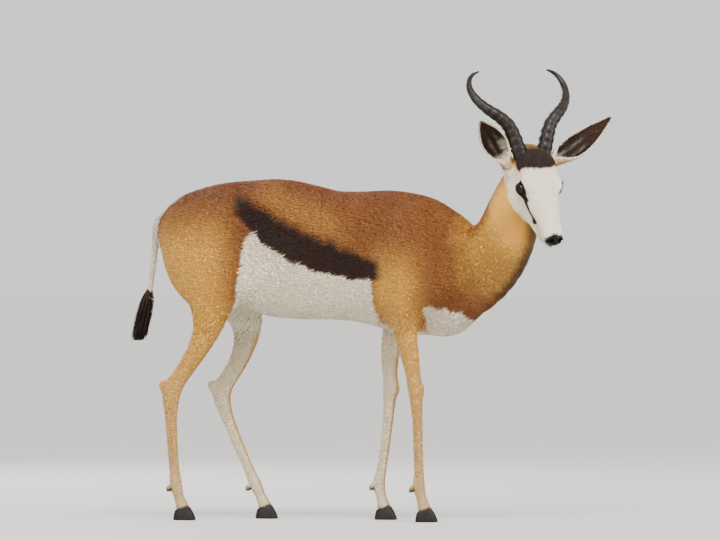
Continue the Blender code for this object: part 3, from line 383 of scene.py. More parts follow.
LEG_ROWS = {
    "fore_right": [
        (-0.066, -0.222, 0.560, 0.026, 0.045),
        (-0.068, -0.230, 0.504, 0.025, 0.036),
        (-0.069, -0.238, 0.452, 0.0215, 0.0285),
        (-0.070, -0.250, 0.393, 0.0175, 0.0225),
        (-0.070, -0.257, 0.350, 0.0160, 0.0185),
        (-0.070, -0.262, 0.320, 0.0172, 0.0195),
        (-0.070, -0.264, 0.292, 0.0145, 0.0160),
        (-0.070, -0.267, 0.246, 0.0115, 0.0130),
        (-0.070, -0.269, 0.173, 0.0105, 0.0120),
        (-0.070, -0.271, 0.115, 0.0110, 0.0125),
        (-0.070, -0.270, 0.090, 0.0138, 0.0158),
        (-0.070, -0.277, 0.058, 0.0122, 0.0125),
        (-0.070, -0.284, 0.034, 0.0180, 0.0160),
        (-0.070, -0.290, 0.012, 0.0200, 0.0180),
    ],
    "fore_left": [
        (0.066, -0.192, 0.560, 0.026, 0.045),
        (0.068, -0.184, 0.504, 0.025, 0.036),
        (0.069, -0.172, 0.452, 0.0215, 0.0285),
        (0.070, -0.164, 0.393, 0.0175, 0.0225),
        (0.070, -0.165, 0.350, 0.0160, 0.0185),
        (0.070, -0.166, 0.320, 0.0172, 0.0195),
        (0.070, -0.163, 0.292, 0.0145, 0.0160),
        (0.070, -0.160, 0.246, 0.0115, 0.0130),
        (0.070, -0.151, 0.173, 0.0105, 0.0120),
        (0.070, -0.142, 0.115, 0.0110, 0.0125),
        (0.070, -0.136, 0.090, 0.0138, 0.0158),
        (0.070, -0.142, 0.058, 0.0122, 0.0125),
        (0.070, -0.148, 0.034, 0.0180, 0.0160),
        (0.070, -0.154, 0.012, 0.0200, 0.0180),
    ],
    "hind_right": [
        (-0.066, 0.244, 0.600, 0.040, 0.082),
        (-0.069, 0.246, 0.548, 0.036, 0.066),
        (-0.072, 0.252, 0.504, 0.030, 0.048),
        (-0.074, 0.262, 0.460, 0.024, 0.034),
        (-0.075, 0.285, 0.415, 0.0200, 0.0270),
        (-0.076, 0.313, 0.371, 0.0165, 0.0225),
        (-0.076, 0.338, 0.335, 0.0150, 0.0225),
        (-0.076, 0.350, 0.305, 0.0160, 0.0230),
        (-0.076, 0.351, 0.272, 0.0135, 0.0185),
        (-0.076, 0.350, 0.240, 0.0118, 0.0150),
        (-0.076, 0.346, 0.173, 0.0108, 0.0132),
        (-0.076, 0.341, 0.115, 0.0112, 0.0130),
        (-0.076, 0.338, 0.088, 0.0138, 0.0160),
        (-0.076, 0.330, 0.056, 0.0122, 0.0125),
        (-0.076, 0.322, 0.034, 0.0180, 0.0160),
        (-0.076, 0.316, 0.012, 0.0200, 0.0180),
    ],
    "hind_left": [
        (0.066, 0.232, 0.600, 0.040, 0.082),
        (0.069, 0.218, 0.548, 0.036, 0.064),
        (0.072, 0.204, 0.504, 0.030, 0.048),
        (0.074, 0.198, 0.460, 0.024, 0.035),
        (0.075, 0.208, 0.415, 0.0200, 0.0270),
        (0.076, 0.228, 0.371, 0.0165, 0.0225),
        (0.076, 0.252, 0.335, 0.0150, 0.0225),
        (0.076, 0.263, 0.305, 0.0160, 0.0230),
        (0.076, 0.256, 0.272, 0.0135, 0.0185),
        (0.076, 0.245, 0.240, 0.0118, 0.0150),
        (0.076, 0.217, 0.173, 0.0108, 0.0132),
        (0.076, 0.190, 0.112, 0.0112, 0.0130),
        (0.076, 0.178, 0.086, 0.0138, 0.0160),
        (0.076, 0.164, 0.056, 0.0122, 0.0125),
        (0.076, 0.154, 0.034, 0.0180, 0.0160),
        (0.076, 0.148, 0.012, 0.0200, 0.0180),
    ],
}

HOOF_Y = {"fore_right": -0.289, "fore_left": -0.153, "hind_right": 0.317, "hind_left": 0.149}

HOCK_BALLS = {
    "hind_right": ((-0.076, 0.366, 0.325), (0.0100, 0.0125, 0.0200), -35.0),
    "hind_left": ((0.076, 0.283, 0.322), (0.0100, 0.0125, 0.0200), -42.0),
}

SKULL = [
    (-0.104, 0.0, -0.006, 0.024, 0.022),
    (-0.086, 0.0, -0.004, 0.040, 0.036),
    (-0.058, 0.0, 0.000, 0.048, 0.041),
    (-0.030, 0.0, -0.001, 0.050, 0.040),
    (0.000, 0.0, -0.005, 0.048, 0.038),
    (0.030, 0.0, -0.007, 0.042, 0.034),
    (0.060, 0.0, -0.008, 0.035, 0.0290),
    (0.090, 0.0, -0.009, 0.0300, 0.0250),
    (0.115, 0.0, -0.011, 0.0270, 0.0220),
    (0.132, 0.0, -0.013, 0.0240, 0.0188),
    (0.143, 0.0, -0.015, 0.0185, 0.0145),
]

JAW = [
    (-0.055, 0.0, -0.045, 0.040, 0.036),
    (-0.030, 0.0, -0.054, 0.043, 0.034),
    (0.000, 0.0, -0.056, 0.042, 0.029),
    (0.030, 0.0, -0.053, 0.037, 0.0250),
    (0.060, 0.0, -0.049, 0.0310, 0.0200),
    (0.090, 0.0, -0.045, 0.0255, 0.0160),
    (0.115, 0.0, -0.0415, 0.0205, 0.0135),
    (0.131, 0.0, -0.0385, 0.0155, 0.0105),
]

MOUTH = [
    (0.152, 0.000, -0.0300),
    (0.146, 0.011, -0.0302),
    (0.132, 0.0215, -0.0290),
    (0.112, 0.0265, -0.0285),
    (0.092, 0.0300, -0.0300),
    (0.074, 0.0330, -0.0345),
]

TAIL = [
    (0.000, 0.376, 0.738, 0.0125, 0.0110),
    (0.000, 0.396, 0.730, 0.0120, 0.0105),
    (0.000, 0.409, 0.700, 0.0110, 0.0090),
    (0.000, 0.413, 0.650, 0.0100, 0.0080),
    (0.000, 0.420, 0.592, 0.0090, 0.0072),
    (0.000, 0.426, 0.545, 0.0080, 0.0066),
]

HORN = [
    (0.022, -0.030, 0.052, 0.0174), (0.029, -0.034, 0.074, 0.0176), (0.037, -0.036, 0.098, 0.0174),
    (0.046, -0.039, 0.126, 0.0168), (0.057, -0.043, 0.151, 0.0158), (0.077, -0.049, 0.172, 0.0144),
    (0.101, -0.062, 0.191, 0.0126), (0.120, -0.081, 0.214, 0.0105), (0.128, -0.100, 0.239, 0.0083),
    (0.123, -0.114, 0.261, 0.0062), (0.110, -0.121, 0.275, 0.0043), (0.092, -0.122, 0.283, 0.0018),
]

EAR_SECTIONS = [
    (-0.24, 0.0100, 0.0105, 173.0, 0.0098), (-0.06, 0.0150, 0.0150, 173.0, 0.0140),
    (0.08, 0.0172, 0.0165, 166.0, 0.0130), (0.16, 0.0205, 0.0180, 138.0, 0.0075),
    (0.25, 0.0255, 0.0190, 111.0, 0.0038), (0.36, 0.0305, 0.0185, 96.0, 0.0032),
    (0.48, 0.0315, 0.0165, 92.0, 0.0032), (0.60, 0.0295, 0.0138, 90.0, 0.0032),
    (0.72, 0.0245, 0.0105, 90.0, 0.0032), (0.83, 0.0178, 0.0075, 90.0, 0.0030),
    (0.92, 0.0112, 0.0050, 90.0, 0.0022), (0.975, 0.0064, 0.0034, 90.0, 0.0015),
    (1.00, 0.0036, 0.0022, 90.0, 0.0010),
]

HOOF_OUTLINE = [
    (0.000, -0.0270), (0.0040, -0.0235), (0.0072, -0.0160), (0.0090, -0.0060), (0.0093, 0.0050),
    (0.0082, 0.0150), (0.0050, 0.0220), (0.0000, 0.0240), (-0.0050, 0.0220), (-0.0080, 0.0150),
    (-0.0086, 0.0050), (-0.0080, -0.0060), (-0.0056, -0.0160), (-0.0028, -0.0235),
]


EYE_OUT = 0.0430
EYE_RADIUS = 0.0172
BODY_HOLLOWS = [((0.121, 0.120, 0.640), (0.020, 0.050, 0.070), 0.0, 0.05)]
HOCK_HOLLOWS = {
    "hind_right": (-0.076, 0.326, 0.385, 30.0),
    "hind_left": (0.075, 0.238, 0.385, 30.0),
}
LID_CREASE = [
    (-0.0165, 0.0075, 0.0125),
    (-0.0080, 0.0135, 0.0140),
    (0.0020, 0.0150, 0.0140),
    (0.0110, 0.0125, 0.0140),
    (0.0175, 0.0065, 0.0125),
]
CHEEK_LINE = [(0.017, -0.003), (0.028, -0.010), (0.042, -0.0175), (0.060, -0.0250), (0.080, -0.0315)]
CORONET = 0.029
CORONET_SLOPE = 0.35
HOOF_CLEFT = 0.0100
HOOF_LEVELS = [(0.0, 1.0, 1.0, 0.0), (0.006, 1.01, 0.98, 0.0015), (0.018, 0.96, 0.82, 0.0038)]
HOOF_TOP = (0.90, 0.63, 0.0060)
EAR_BASE = (-0.077, 0.053, -0.018)
EAR_REACH = {"right": (0.098, 0.056, 0.106), "left": (0.150, 0.047, 0.105)}
EAR_OPENING = {"right": (0.32, 0.88, -0.25), "left": (-0.55, 0.70, 0.35)}
EAR_BOW = 0.012
EAR_ROOT_TURN = 0.10
RINGS_START = 0.12
RINGS_END = 0.72
RING_COUNT = 9
RING_HEIGHT = 0.13


def eye_centre(sign: float) -> Array:
    """Centre of the eyeball on one side."""
    return Pose.at(0.0, sign * EYE_OUT, 0.0)


def eye_frame(sign: float) -> Array:
    """Directions of one eye as rows: along the lids, out of the socket, and across the lids."""
    gaze = unit(sign * 0.84 * Pose.LEFT + 0.28 * Pose.FORWARD + 0.34 * Pose.DORSAL)
    along = 0.97 * Pose.FORWARD - 0.24 * Pose.DORSAL
    along = unit(along - gaze * (gaze @ along))
    return np.array([along, gaze, np.cross(along, gaze)])


class Anatomy:
    """The animal's soft form as one field: trunk, neck, head, legs and tail."""

    EYE_BULGE = 0.0208
    SLOT = (0.0172, 0.0130, 0.0112)

    def head(self) -> tuple[list, list]:
        """Shapes and hollows of the head."""
        ball = Pose.ball
        solids = [
            Pose.loft(SKULL, 0.02, egg=-0.05),
            Pose.loft(JAW, 0.014, egg=-0.10),
            ball((0.128, 0.0, -0.006), (0.022, 0.020, 0.012), 0.012, lean=-18.0),
            ball((0.132, 0.0, -0.036), (0.017, 0.0135, 0.0105), 0.006),
        ]
        hollows = []
        for sign in SIDES.values():
            along, gaze, across = eye_frame(sign)
            eye = eye_centre(sign)
            slot = Ball(tuple(eye + gaze * self.EYE_BULGE), self.SLOT, (along, gaze, across), 0.003)
            crease = [
                (*(eye + along * a + across * c + gaze * g), 0.0016, 0.0013)
                for a, c, g in LID_CREASE
            ]
            solids += [
                Ball(tuple(eye), (self.EYE_BULGE,) * 3, blend=0.013),
                ball((-0.006, sign * 0.040, 0.017), (0.024, 0.013, 0.009), 0.016, -8.0 * sign),
                ball((-0.012, sign * 0.037, -0.048), (0.042, 0.012, 0.030), 0.016),
                ball((0.045, sign * 0.026, -0.014), (0.036, 0.010, 0.014), 0.014, -8.0 * sign),
                ball((-0.052, sign * 0.029, 0.026), (0.022, 0.016, 0.014), 0.018),
                ball((-0.072, sign * 0.047, -0.030), (0.025, 0.017, 0.020), 0.016),
                ball((0.140, sign * 0.0135, -0.010), (0.013, 0.009, 0.010), 0.008),
                ball((0.118, sign * 0.0170, -0.022), (0.026, 0.008, 0.0085), 0.008),
                ball((0.146, sign * 0.0165, -0.0045), (0.0085, 0.0030, 0.0035), 0.005, 25.0 * sign),
            ]
            mouth = [(*Pose.at(f, sign * s, u), 0.0026, 0.0019) for f, s, u in MOUTH]
            hollows += [
                slot,
                ball((0.151, sign * 0.0125, -0.0075), (0.0085, 0.0042, 0.0052), 0.003, 32.0 * sign),
                ball((0.142, sign * 0.0178, -0.0115), (0.0070, 0.0028, 0.0020), 0.002, 20.0 * sign),
                Loft(mouth, side=tuple(Pose.DORSAL), blend=0.002),
                Loft(crease, side=tuple(across), blend=0.0025),
                ball((0.028, sign * 0.043, -0.006), (0.012, 0.004, 0.0035), 0.004, -12.0 * sign, 20.0),
                ball((-0.030, sign * 0.052, 0.004), (0.016, 0.006, 0.012), 0.012),
                ball((0.075, sign * 0.034, -0.026), (0.030, 0.004, 0.006), 0.010, -6.0 * sign),
            ]
        return solids, hollows

    def body(self) -> tuple[list, list]:
        """Shapes and hollows of the trunk, neck, limbs and tail."""
        solids = [
            Loft(TRUNK, blend=0.03, power=2.15, egg=0.04),
            Loft(NECK, side=(1.0, -0.12, 0.0), blend=0.05),
            Loft(TAIL, blend=0.014),
            Ball((0.0, -0.330, 0.505), (0.042, 0.050, 0.050), tilt(20.0), 0.04),
            Ball((0.0, -0.190, 0.755), (0.030, 0.110, 0.036), tilt(-3.0), 0.05),
        ]
        hollows = []
        for sign in SIDES.values():
            for centre, half, pitch, yaw in SHOULDER_BALLS + THIGH_BALLS:
                at = (sign * centre[0], centre[1], centre[2])
                solids.append(Ball(at, half, tilt(pitch, sign * yaw), 0.045))
            for centre, half, pitch, blend in BODY_HOLLOWS:
                at = (sign * centre[0], centre[1], centre[2])
                hollows.append(Ball(at, half, tilt(pitch), blend))
        for leg, rows in LEG_ROWS.items():
            more, less = self.leg(leg, rows)
            solids += more
            hollows += less
        return solids, hollows

    def leg(self, leg: str, rows: Sequence[Row]) -> tuple[list, list]:
        """Shapes and hollows of one leg.

        Args:
            leg: The leg's name.
            rows: Its chain of sections.

        Returns:
            The solids, with joints and dewclaws, and the hollows beside its tendons.
        """
        solids = [Loft(rows, blend=0.03, per_span=2)]
        hollows = []
        if leg in HOCK_BALLS:
            centre, half, pitch = HOCK_BALLS[leg]
            solids.append(Ball(centre, half, tilt(pitch), 0.014))
        else:
            x, y, z = rows[5][:3]
            solids.append(Ball((x, y - 0.0045, z), (0.0165, 0.0165, 0.0190), blend=0.008))
        for sign in SIDES.values():
            x, y, z = rows[-4][:3]
            claw = (x + sign * 0.0085, y + 0.0165, z - 0.010)
            solids.append(Ball(claw, (0.0055, 0.0060, 0.0095), tilt(20.0), 0.005))
            shank = [row for row in rows if 0.10 < row[2] < 0.28]
            groove = [
                (row[0] + sign * (row[3] + 0.0015), row[1] + 0.0030, row[2], 0.0026, 0.0026)
                for row in shank
            ]
            hollows.append(Loft(groove, blend=0.005))
            if leg in HOCK_BALLS:
                gap = HOCK_HOLLOWS[leg]
                hollows.append(
                    Ball((gap[0] + sign * 0.021, gap[1], gap[2]), (0.0085, 0.0075, 0.034), tilt(gap[3]), 0.010)
                )
        return solids, hollows

    def flesh(self) -> Flesh:
        """The whole animal, out to the tips of its coat."""
        body, body_hollows = self.body()
        head, head_hollows = self.head()
        return Flesh(body + head, body_hollows + head_hollows)


def above_coronet(points: Array) -> Array:
    """Height of each point over the sloping top of the hooves under it."""
    x, y, z = points.T
    front = np.where(x < 0, HOOF_Y["fore_right"], HOOF_Y["fore_left"])
    rear = np.where(x < 0, HOOF_Y["hind_right"], HOOF_Y["hind_left"])
    middle = np.where(y < 0.0, front, rear)
    return z - CORONET + CORONET_SLOPE * (y - middle)


def coat_depth(points: Array) -> Array:
    """How far the skin lies below the tips of the coat, in metres."""
    from_head = np.linalg.norm(points - Pose.at(0.02, 0.0, -0.02), axis=1)
    depth = 0.0010 + 0.0026 * ramp(from_head, 0.110, 0.200)
    legs = 0.0013 + 0.0023 * ramp(points[:, 2], 0.300, 0.480)
    tail = ramp(points[:, 1], 0.385, 0.402) * 0.0016
    return np.minimum(depth, legs) - np.minimum(tail, 0.0016)


class Skin:
    """One closed mesh of the skin, fine on the head and coarser on the body."""

    HEAD_STEP = 0.0022
    BODY_STEP = 0.0046
    LEG_STEP = 0.0034
    SIDE_STEP = 0.0038
    TAIL_STEP = 0.0030
    FOOT_SINK = 0.0045

    def __init__(self, flesh: Flesh) -> None:
        """Keeps the field that the skin is drawn from."""
        self.flesh = flesh
        self.points = np.zeros((0, 3))
        self.quads = np.zeros((0, 4), int)

    def value(self, points: Array) -> Array:
        """Signed distance from the skin, cut flat inside the hooves."""
        depth = self.flesh.value(points) + coat_depth(points)
        return np.maximum(depth, -self.FOOT_SINK - above_coronet(points))

    @staticmethod
    def axis(spans: Sequence[tuple[float, float, float]]) -> Array:
        """Coordinates along one axis, from spans of start, end and step.

        Args:
            spans: Start, end and step of each stretch, in order.

        Returns:
            Coordinates that fill whole blocks.
        """
        out = [np.arange(low, high - 0.4 * step, step) for low, high, step in spans]
        line = np.concatenate(out)
        short = -len(line) % BLOCK
        last = spans[-1][2]
        return np.concatenate([line, line[-1] + last * np.arange(1, short + 1)])

    def axes(self) -> list[Array]:
        """The three coordinate lists of the grid."""
        head, body = self.HEAD_STEP, self.BODY_STEP
        return [
            self.axis([(-0.186, 0.002, head), (0.002, 0.130, self.SIDE_STEP)]),
            self.axis([(-0.678, -0.448, head), (-0.448, 0.360, body), (0.360, 0.450, self.TAIL_STEP)]),
            self.axis([(0.010, 0.340, self.LEG_STEP), (0.340, 0.660, body), (0.660, 0.930, head)]),
        ]

    def sample(self, axes: list[Array]) -> Array:
        """Field values on the grid; blocks far from the skin keep only their sign."""
        parts = [axis.reshape(-1, BLOCK) for axis in axes]
        middles = [part.mean(axis=1) for part in parts]
        spans = [part[:, -1] - part[:, 0] + 2 * (part[:, 1] - part[:, 0]) for part in parts]
        blocks = np.stack(np.meshgrid(*middles, indexing="ij"), axis=-1)
        size = np.stack(np.meshgrid(*spans, indexing="ij"), axis=-1)
        coarse = self.value(blocks.reshape(-1, 3)).reshape(blocks.shape[:3])
        near = np.abs(coarse) < 0.75 * np.linalg.norm(size, axis=-1)
        values = np.repeat(np.where(coarse < 0, -FAR, FAR).ravel(), BLOCK**3)
        values = values.reshape(*coarse.shape, BLOCK, BLOCK, BLOCK)
        where = np.argwhere(near)
        grid_x = parts[0][where[:, 0]][:, :, None, None]
        grid_y = parts[1][where[:, 1]][:, None, :, None]
        grid_z = parts[2][where[:, 2]][:, None, None, :]
        shape = (len(where), BLOCK, BLOCK, BLOCK)
        points = np.stack([np.broadcast_to(g, shape) for g in (grid_x, grid_y, grid_z)], axis=-1)
        values[near] = self.value(points.reshape(-1, 3)).reshape(shape)
        sizes = [len(axis) for axis in axes]
        return values.transpose(0, 3, 1, 4, 2, 5).reshape(sizes)

    @staticmethod
    def fill_checks(grid: Array) -> Array:
        """Fills grid squares whose corners alternate, which would give one edge to four faces."""
        low, high = slice(0, -1), slice(1, None)
        found = np.ones(1, bool)
        while found.any():
            inside = grid < 0
            found = np.zeros(grid.shape, bool)
            for u, v in ((0, 1), (0, 2), (1, 2)):
                corners = []
                for a, b in ((low, low), (high, high), (high, low), (low, high)):
                    corner = [slice(None)] * 3
                    corner[u], corner[v] = a, b
                    corners.append(tuple(corner))
                first, last, second, third = (inside[corner] for corner in corners)
                check = (first == last) & (second == third) & (first != second)
                for corner in corners:
                    found[corner] |= check & ~inside[corner]
            grid[found] = -1e-4
        return grid

    @staticmethod
    def net(grid: Array, axes: list[Array]) -> tuple[Array, Array]:
        """Points and quads of the zero surface, one point in each cell that it crosses."""
        inside = grid < 0
        shape = np.array(grid.shape) - 1
        views = [
            inside[i : i + shape[0], j : j + shape[1], k : k + shape[2]]
            for i in (0, 1)
            for j in (0, 1)
            for k in (0, 1)
        ]
        mixed = np.logical_or.reduce(views) & ~np.logical_and.reduce(views)
        cells = np.argwhere(mixed)
        index = np.full(shape, -1)
        index[mixed] = np.arange(len(cells))
        total = np.zeros((len(cells), 3))
        count = np.zeros(len(cells))
        for axis in range(3):
            for a, b in ((0, 0), (0, 1), (1, 0), (1, 1)):
                start = cells + np.insert(np.array([a, b]), axis, 0)
                end = cells + np.insert(np.array([a, b]), axis, 1)
                va, vb = grid[tuple(start.T)], grid[tuple(end.T)]
                cross = (va < 0) != (vb < 0)
                t = va[cross] / (va[cross] - vb[cross])
                pa = np.stack([axes[n][start[cross, n]] for n in range(3)], axis=1)
                pb = np.stack([axes[n][end[cross, n]] for n in range(3)], axis=1)
                total[cross] += pa + t[:, None] * (pb - pa)
                count[cross] += 1
        quads = []
        for axis in range(3):
            lower, upper = [slice(None)] * 3, [slice(None)] * 3
            lower[axis], upper[axis] = slice(0, -1), slice(1, None)
            edges = np.argwhere(inside[tuple(lower)] != inside[tuple(upper)])
            u, v = [n for n in range(3) if n != axis]
            keep = (edges[:, u] > 0) & (edges[:, v] > 0)
            keep &= (edges[:, u] < shape[u]) & (edges[:, v] < shape[v])
            edges = edges[keep]
            ring = []
            for du, dv in ((-1, -1), (0, -1), (0, 0), (-1, 0)):
                cell = edges.copy()
                cell[:, u] += du
                cell[:, v] += dv
                ring.append(index[tuple(cell.T)])
            quad = np.stack(ring, axis=1)
            outward = inside[tuple(edges.T)] ^ (axis == 1)
            quads.append(np.where(outward[:, None], quad, quad[:, ::-1]))
        return total / count[:, None], np.vstack(quads)

    def slope(self, points: Array, value: Array, step: float = 0.0004) -> Array:
        """The field's slope at each point."""
        slope = np.empty_like(points)
        for axis in range(3):
            moved = points.copy()
            moved[:, axis] += step
            slope[:, axis] = (self.value(moved) - value) / step
        return slope

    def settle(self, points: Array, rounds: int, reach: float) -> Array:
        """Points drawn onto the skin along the field's slope.

        Args:
            points: Places near the skin.
            rounds: Number of moves.
            reach: Longest move of each round.

        Returns:
            The moved points.
        """
        for _ in range(rounds):
            value = self.value(points)
            slope = self.slope(points, value)
            shift = -(value / np.maximum((slope**2).sum(axis=1), 0.25))[:, None] * slope
            length = np.maximum(np.linalg.norm(shift, axis=1), 1e-9)
            points = points + shift * np.minimum(1.0, reach / length)[:, None]
        return points

    def grow(self) -> None:
        """Samples the field, draws the net and settles it on the skin."""
        axes = self.axes()
        points, quads = self.net(self.fill_checks(self.sample(axes)), axes)
        self.points = self.settle(points, 2, 0.0015)
        self.quads = quads
        self.keep_largest()

    def keep_largest(self) -> None:
        """Drops every loose scrap, by spreading the lowest point number over each piece."""
        label = np.arange(len(self.points))
        while True:
            low = label[self.quads].min(axis=1)
            new = label.copy()
            np.minimum.at(new, self.quads.ravel(), np.repeat(low, 4))
            new = new[new]
            if (new == label).all():
                break
            label = new
        names, sizes = np.unique(label, return_counts=True)
        body = label == names[sizes.argmax()]
        renumber = np.cumsum(body) - 1
        self.quads = renumber[self.quads[body[self.quads[:, 0]]]]
        self.points = self.points[body]


def paint(red: float, green: float, blue: float) -> Array:
    """Linear colour of a paint named by its screen values, 0 to 255."""
    screen = np.array([red, green, blue]) / 255.0
    return np.where(screen <= 0.04045, screen / 12.92, ((screen + 0.055) / 1.055) ** 2.4)


@dataclass(frozen=True)
class CoatPaints:
    """Colours of the coat and bare skin."""

    cinnamon: Array = field(default_factory=lambda: paint(146, 96, 56))
    russet: Array = field(default_factory=lambda: paint(116, 64, 36))
    # Golden: partly the coat's own paler fawn, partly painted sunlight where it lies on the thigh, shoulder, legs and
    # side of the neck.
    golden: Array = field(default_factory=lambda: paint(234, 182, 96))
    # Darker brown: partly the throat's own colour, partly painted shade where the neck faces forward.
    throat: Array = field(default_factory=lambda: paint(112, 80, 52))
    chocolate: Array = field(default_factory=lambda: paint(54, 30, 20))
    belly: Array = field(default_factory=lambda: paint(242, 232, 208))
    face: Array = field(default_factory=lambda: paint(242, 234, 214))
    crown: Array = field(default_factory=lambda: paint(48, 30, 22))
    stripe: Array = field(default_factory=lambda: paint(60, 34, 22))
    leg: Array = field(default_factory=lambda: paint(202, 164, 108))
    cream: Array = field(default_factory=lambda: paint(230, 214, 186))
    bare: Array = field(default_factory=lambda: paint(26, 21, 20))
    rim: Array = field(default_factory=lambda: paint(20, 15, 13))
    ear_back: Array = field(default_factory=lambda: paint(176, 132, 88))
    ear_inside: Array = field(default_factory=lambda: paint(58, 42, 36))
    tuft: Array = field(default_factory=lambda: paint(40, 26, 20))


class Markings:
    """The coat's colours, worked out from where a point is and which way it faces."""

    BAND_TOP = [(-0.170, 0.626), (-0.100, 0.652), (-0.020, 0.684), (0.060, 0.721), (0.130, 0.760), (0.175, 0.786)]
    BAND_FOOT = [(-0.185, 0.588), (-0.110, 0.596), (-0.040, 0.610), (0.036, 0.636), (0.090, 0.668), (0.132, 0.704), (0.160, 0.742)]
    BAND_SPAN = (-0.205, -0.165, 0.150, 0.190)

    def __init__(self, paints: CoatPaints, skull: Flesh) -> None:
        """Keeps the coat's colours, the head's own form and each leg's middle at each height."""
        self.paints = paints
        self.skull = skull
        self.legs = {name: np.array(rows)[::-1] for name, rows in LEG_ROWS.items()}

    def colour(self, points: Array, normals: Array) -> Array:
        """Coat colour at each point.

        Args:
            points: Places on or near the skin, in the animal's own frame.
            normals: Which way the skin faces at each.

        Returns:
            Linear red, green and blue, one row for each point.
        """
        out = self.trunk(points, normals)
        out = self.limbs(points, normals, out)
        out = self.neck(points, normals, out)
        out = self.head(points, normals, out)
        return self.tail(points, out)

    def trunk(self, points: Array, normals: Array) -> Array:
        """Colours of the back, flanks, belly, thighs and rump."""
        paints = self.paints
        x, y, z = points.T
        ragged = 0.0045 * wobble(points, 0.045, 3) + 0.0025 * wobble(points, 0.014, 4)
        spine = ramp(z, 0.735, 0.815) * ramp(normals[:, 2], 0.1, 0.9)
        back = mix(paints.cinnamon[None], paints.russet[None], 0.55 * spine + 0.12 * wobble(points, 0.16, 5))
        # Thigh and shoulder turn golden: partly the coat's own paler fawn, partly painted sunlight.
        thigh = ramp(y, 0.150, 0.250) * ramp(-z, -0.790, -0.640)
        out = mix(back, paints.golden[None], np.clip(0.90 * thigh, 0, 1))
        shoulder = ramp(y, -0.330, -0.240) * ramp(-y, 0.130, 0.200) * ramp(-z, -0.720, -0.560)
        out = mix(out, paints.golden[None], 0.78 * shoulder)
        top = np.interp(y, *zip(*self.BAND_TOP)) + ragged
        foot = np.interp(y, *zip(*self.BAND_FOOT)) + ragged
        over = ramp(z - top, 0.012, 0.040) * ramp(top - z, -0.110, -0.055) * ramp(-np.abs(y - 0.01), -0.15, -0.06)
        out = mix(out, paints.golden[None], 0.22 * over)
        start, full, fade, end = self.BAND_SPAN
        span = ramp(y, start, full) * ramp(-y, -end, -fade)
        band = ramp(z, foot - 0.003, foot + 0.004) * ramp(-z, -top - 0.028, -top + 0.006) * span
        out = mix(out, paints.chocolate[None], np.clip(1.15 * band, 0, 1))
        under = np.where(y < 0, 0.545 - 0.10 * ramp(-y, 0.26, 0.40), foot)
        under = np.where((y > -0.185) & (y < 0.0), foot, under)
        edge = np.interp(y, [-0.42, -0.36, -0.26, -0.205, -0.185], [0.490, 0.520, 0.530, 0.548, 0.588])
        under = np.where(y < -0.185, edge + ragged, under)
        elbow = ramp(y, -0.290, -0.280) * ramp(-y, 0.166, 0.176) * ramp(np.abs(x), 0.036, 0.046)
        under = mix(under[:, None], 0.40, elbow)[:, 0]
        fore_set = y + (x > 0) * np.interp(z, [0.42, 0.50, 0.55, 0.60, 0.65], [0.060, 0.048, 0.030, 0.012, 0.0])
        rear = np.interp(fore_set, [0.132, 0.150, 0.175, 0.200, 0.240], [0.704, 0.690, 0.560, 0.500, 0.420])
        outward = np.abs(normals[:, 0]) * np.sign(normals[:, 0] * np.sign(x))
        rear = rear + 0.20 * ramp(-outward, -0.15, 0.35) * ramp(y, 0.12, 0.18)
        under = np.where(fore_set > 0.132, rear + 1.5 * ragged, under)
        white = ramp(under - z, -0.003, 0.004)
        out = mix(out, paints.belly[None], white)
        return self.rump(points, normals, out)

    def rump(self, points: Array, normals: Array, out: Array) -> Array:
        """Adds the white patch under the tail and the white fan line along the back."""
        paints = self.paints
        x, y, z = points.T
        ragged = 0.003 * wobble(points, 0.03, 7)
        wide = np.interp(z, [0.46, 0.54, 0.66, 0.74, 0.79, 0.83], [0.030, 0.040, 0.046, 0.040, 0.026, 0.012])
        behind = ramp(y, 0.325, 0.350)
        rim = ramp(wide + 0.007 - np.abs(x) + ragged, -0.003, 0.003) * behind
        out = mix(out, paints.russet[None], 0.75 * rim * ramp(z, 0.50, 0.56))
        patch = ramp(wide - np.abs(x) + ragged, -0.003, 0.003) * behind
        out = mix(out, paints.belly[None], patch)
        along = ramp(y, 0.02, 0.07) * ramp(z, 0.76, 0.79) * ramp(normals[:, 2], 0.1, 0.4)
        fan = np.interp(y, [0.02, 0.10, 0.22, 0.34], [0.001, 0.004, 0.006, 0.010])
        line = ramp(fan + 0.009 - np.abs(x) + ragged, -0.004, 0.004) * along
        out = mix(out, paints.russet[None], 0.8 * line)
        line = ramp(fan - np.abs(x) + ragged, -0.002, 0.002) * along
        return mix(out, paints.belly[None], line)

    def limbs(self, points: Array, normals: Array, out: Array) -> Array:
        """Adds the legs: tan in front and outside, cream behind and inside."""
        paints = self.paints
        x, y, z = points.T
        ragged = 0.10 * wobble(points, 0.03, 9)
        for name, rows in self.legs.items():
            sign = SIDES[name.split("_")[1]]
            mid_y = np.interp(z, rows[:, 2], rows[:, 1])
            deep = np.interp(z, rows[:, 2], rows[:, 4])
            fore = name.startswith("fore")
            broad = 1.9 - 0.8 * ramp(z, 0.42, 0.47) if fore else 1.9
            near = (x * sign > 0.0) & (np.abs(y - mid_y) < deep * broad + 0.012)
            high, low = (0.530, 0.470) if fore else (0.500, 0.430)
            share = ramp(-z, -high, -low) * near * ramp(x * sign, 0.026, 0.038)
            turn = 0.80 * normals[:, 0] * sign - 0.70 * normals[:, 1]
            tan = ramp(turn + ragged, -0.30, 0.30)
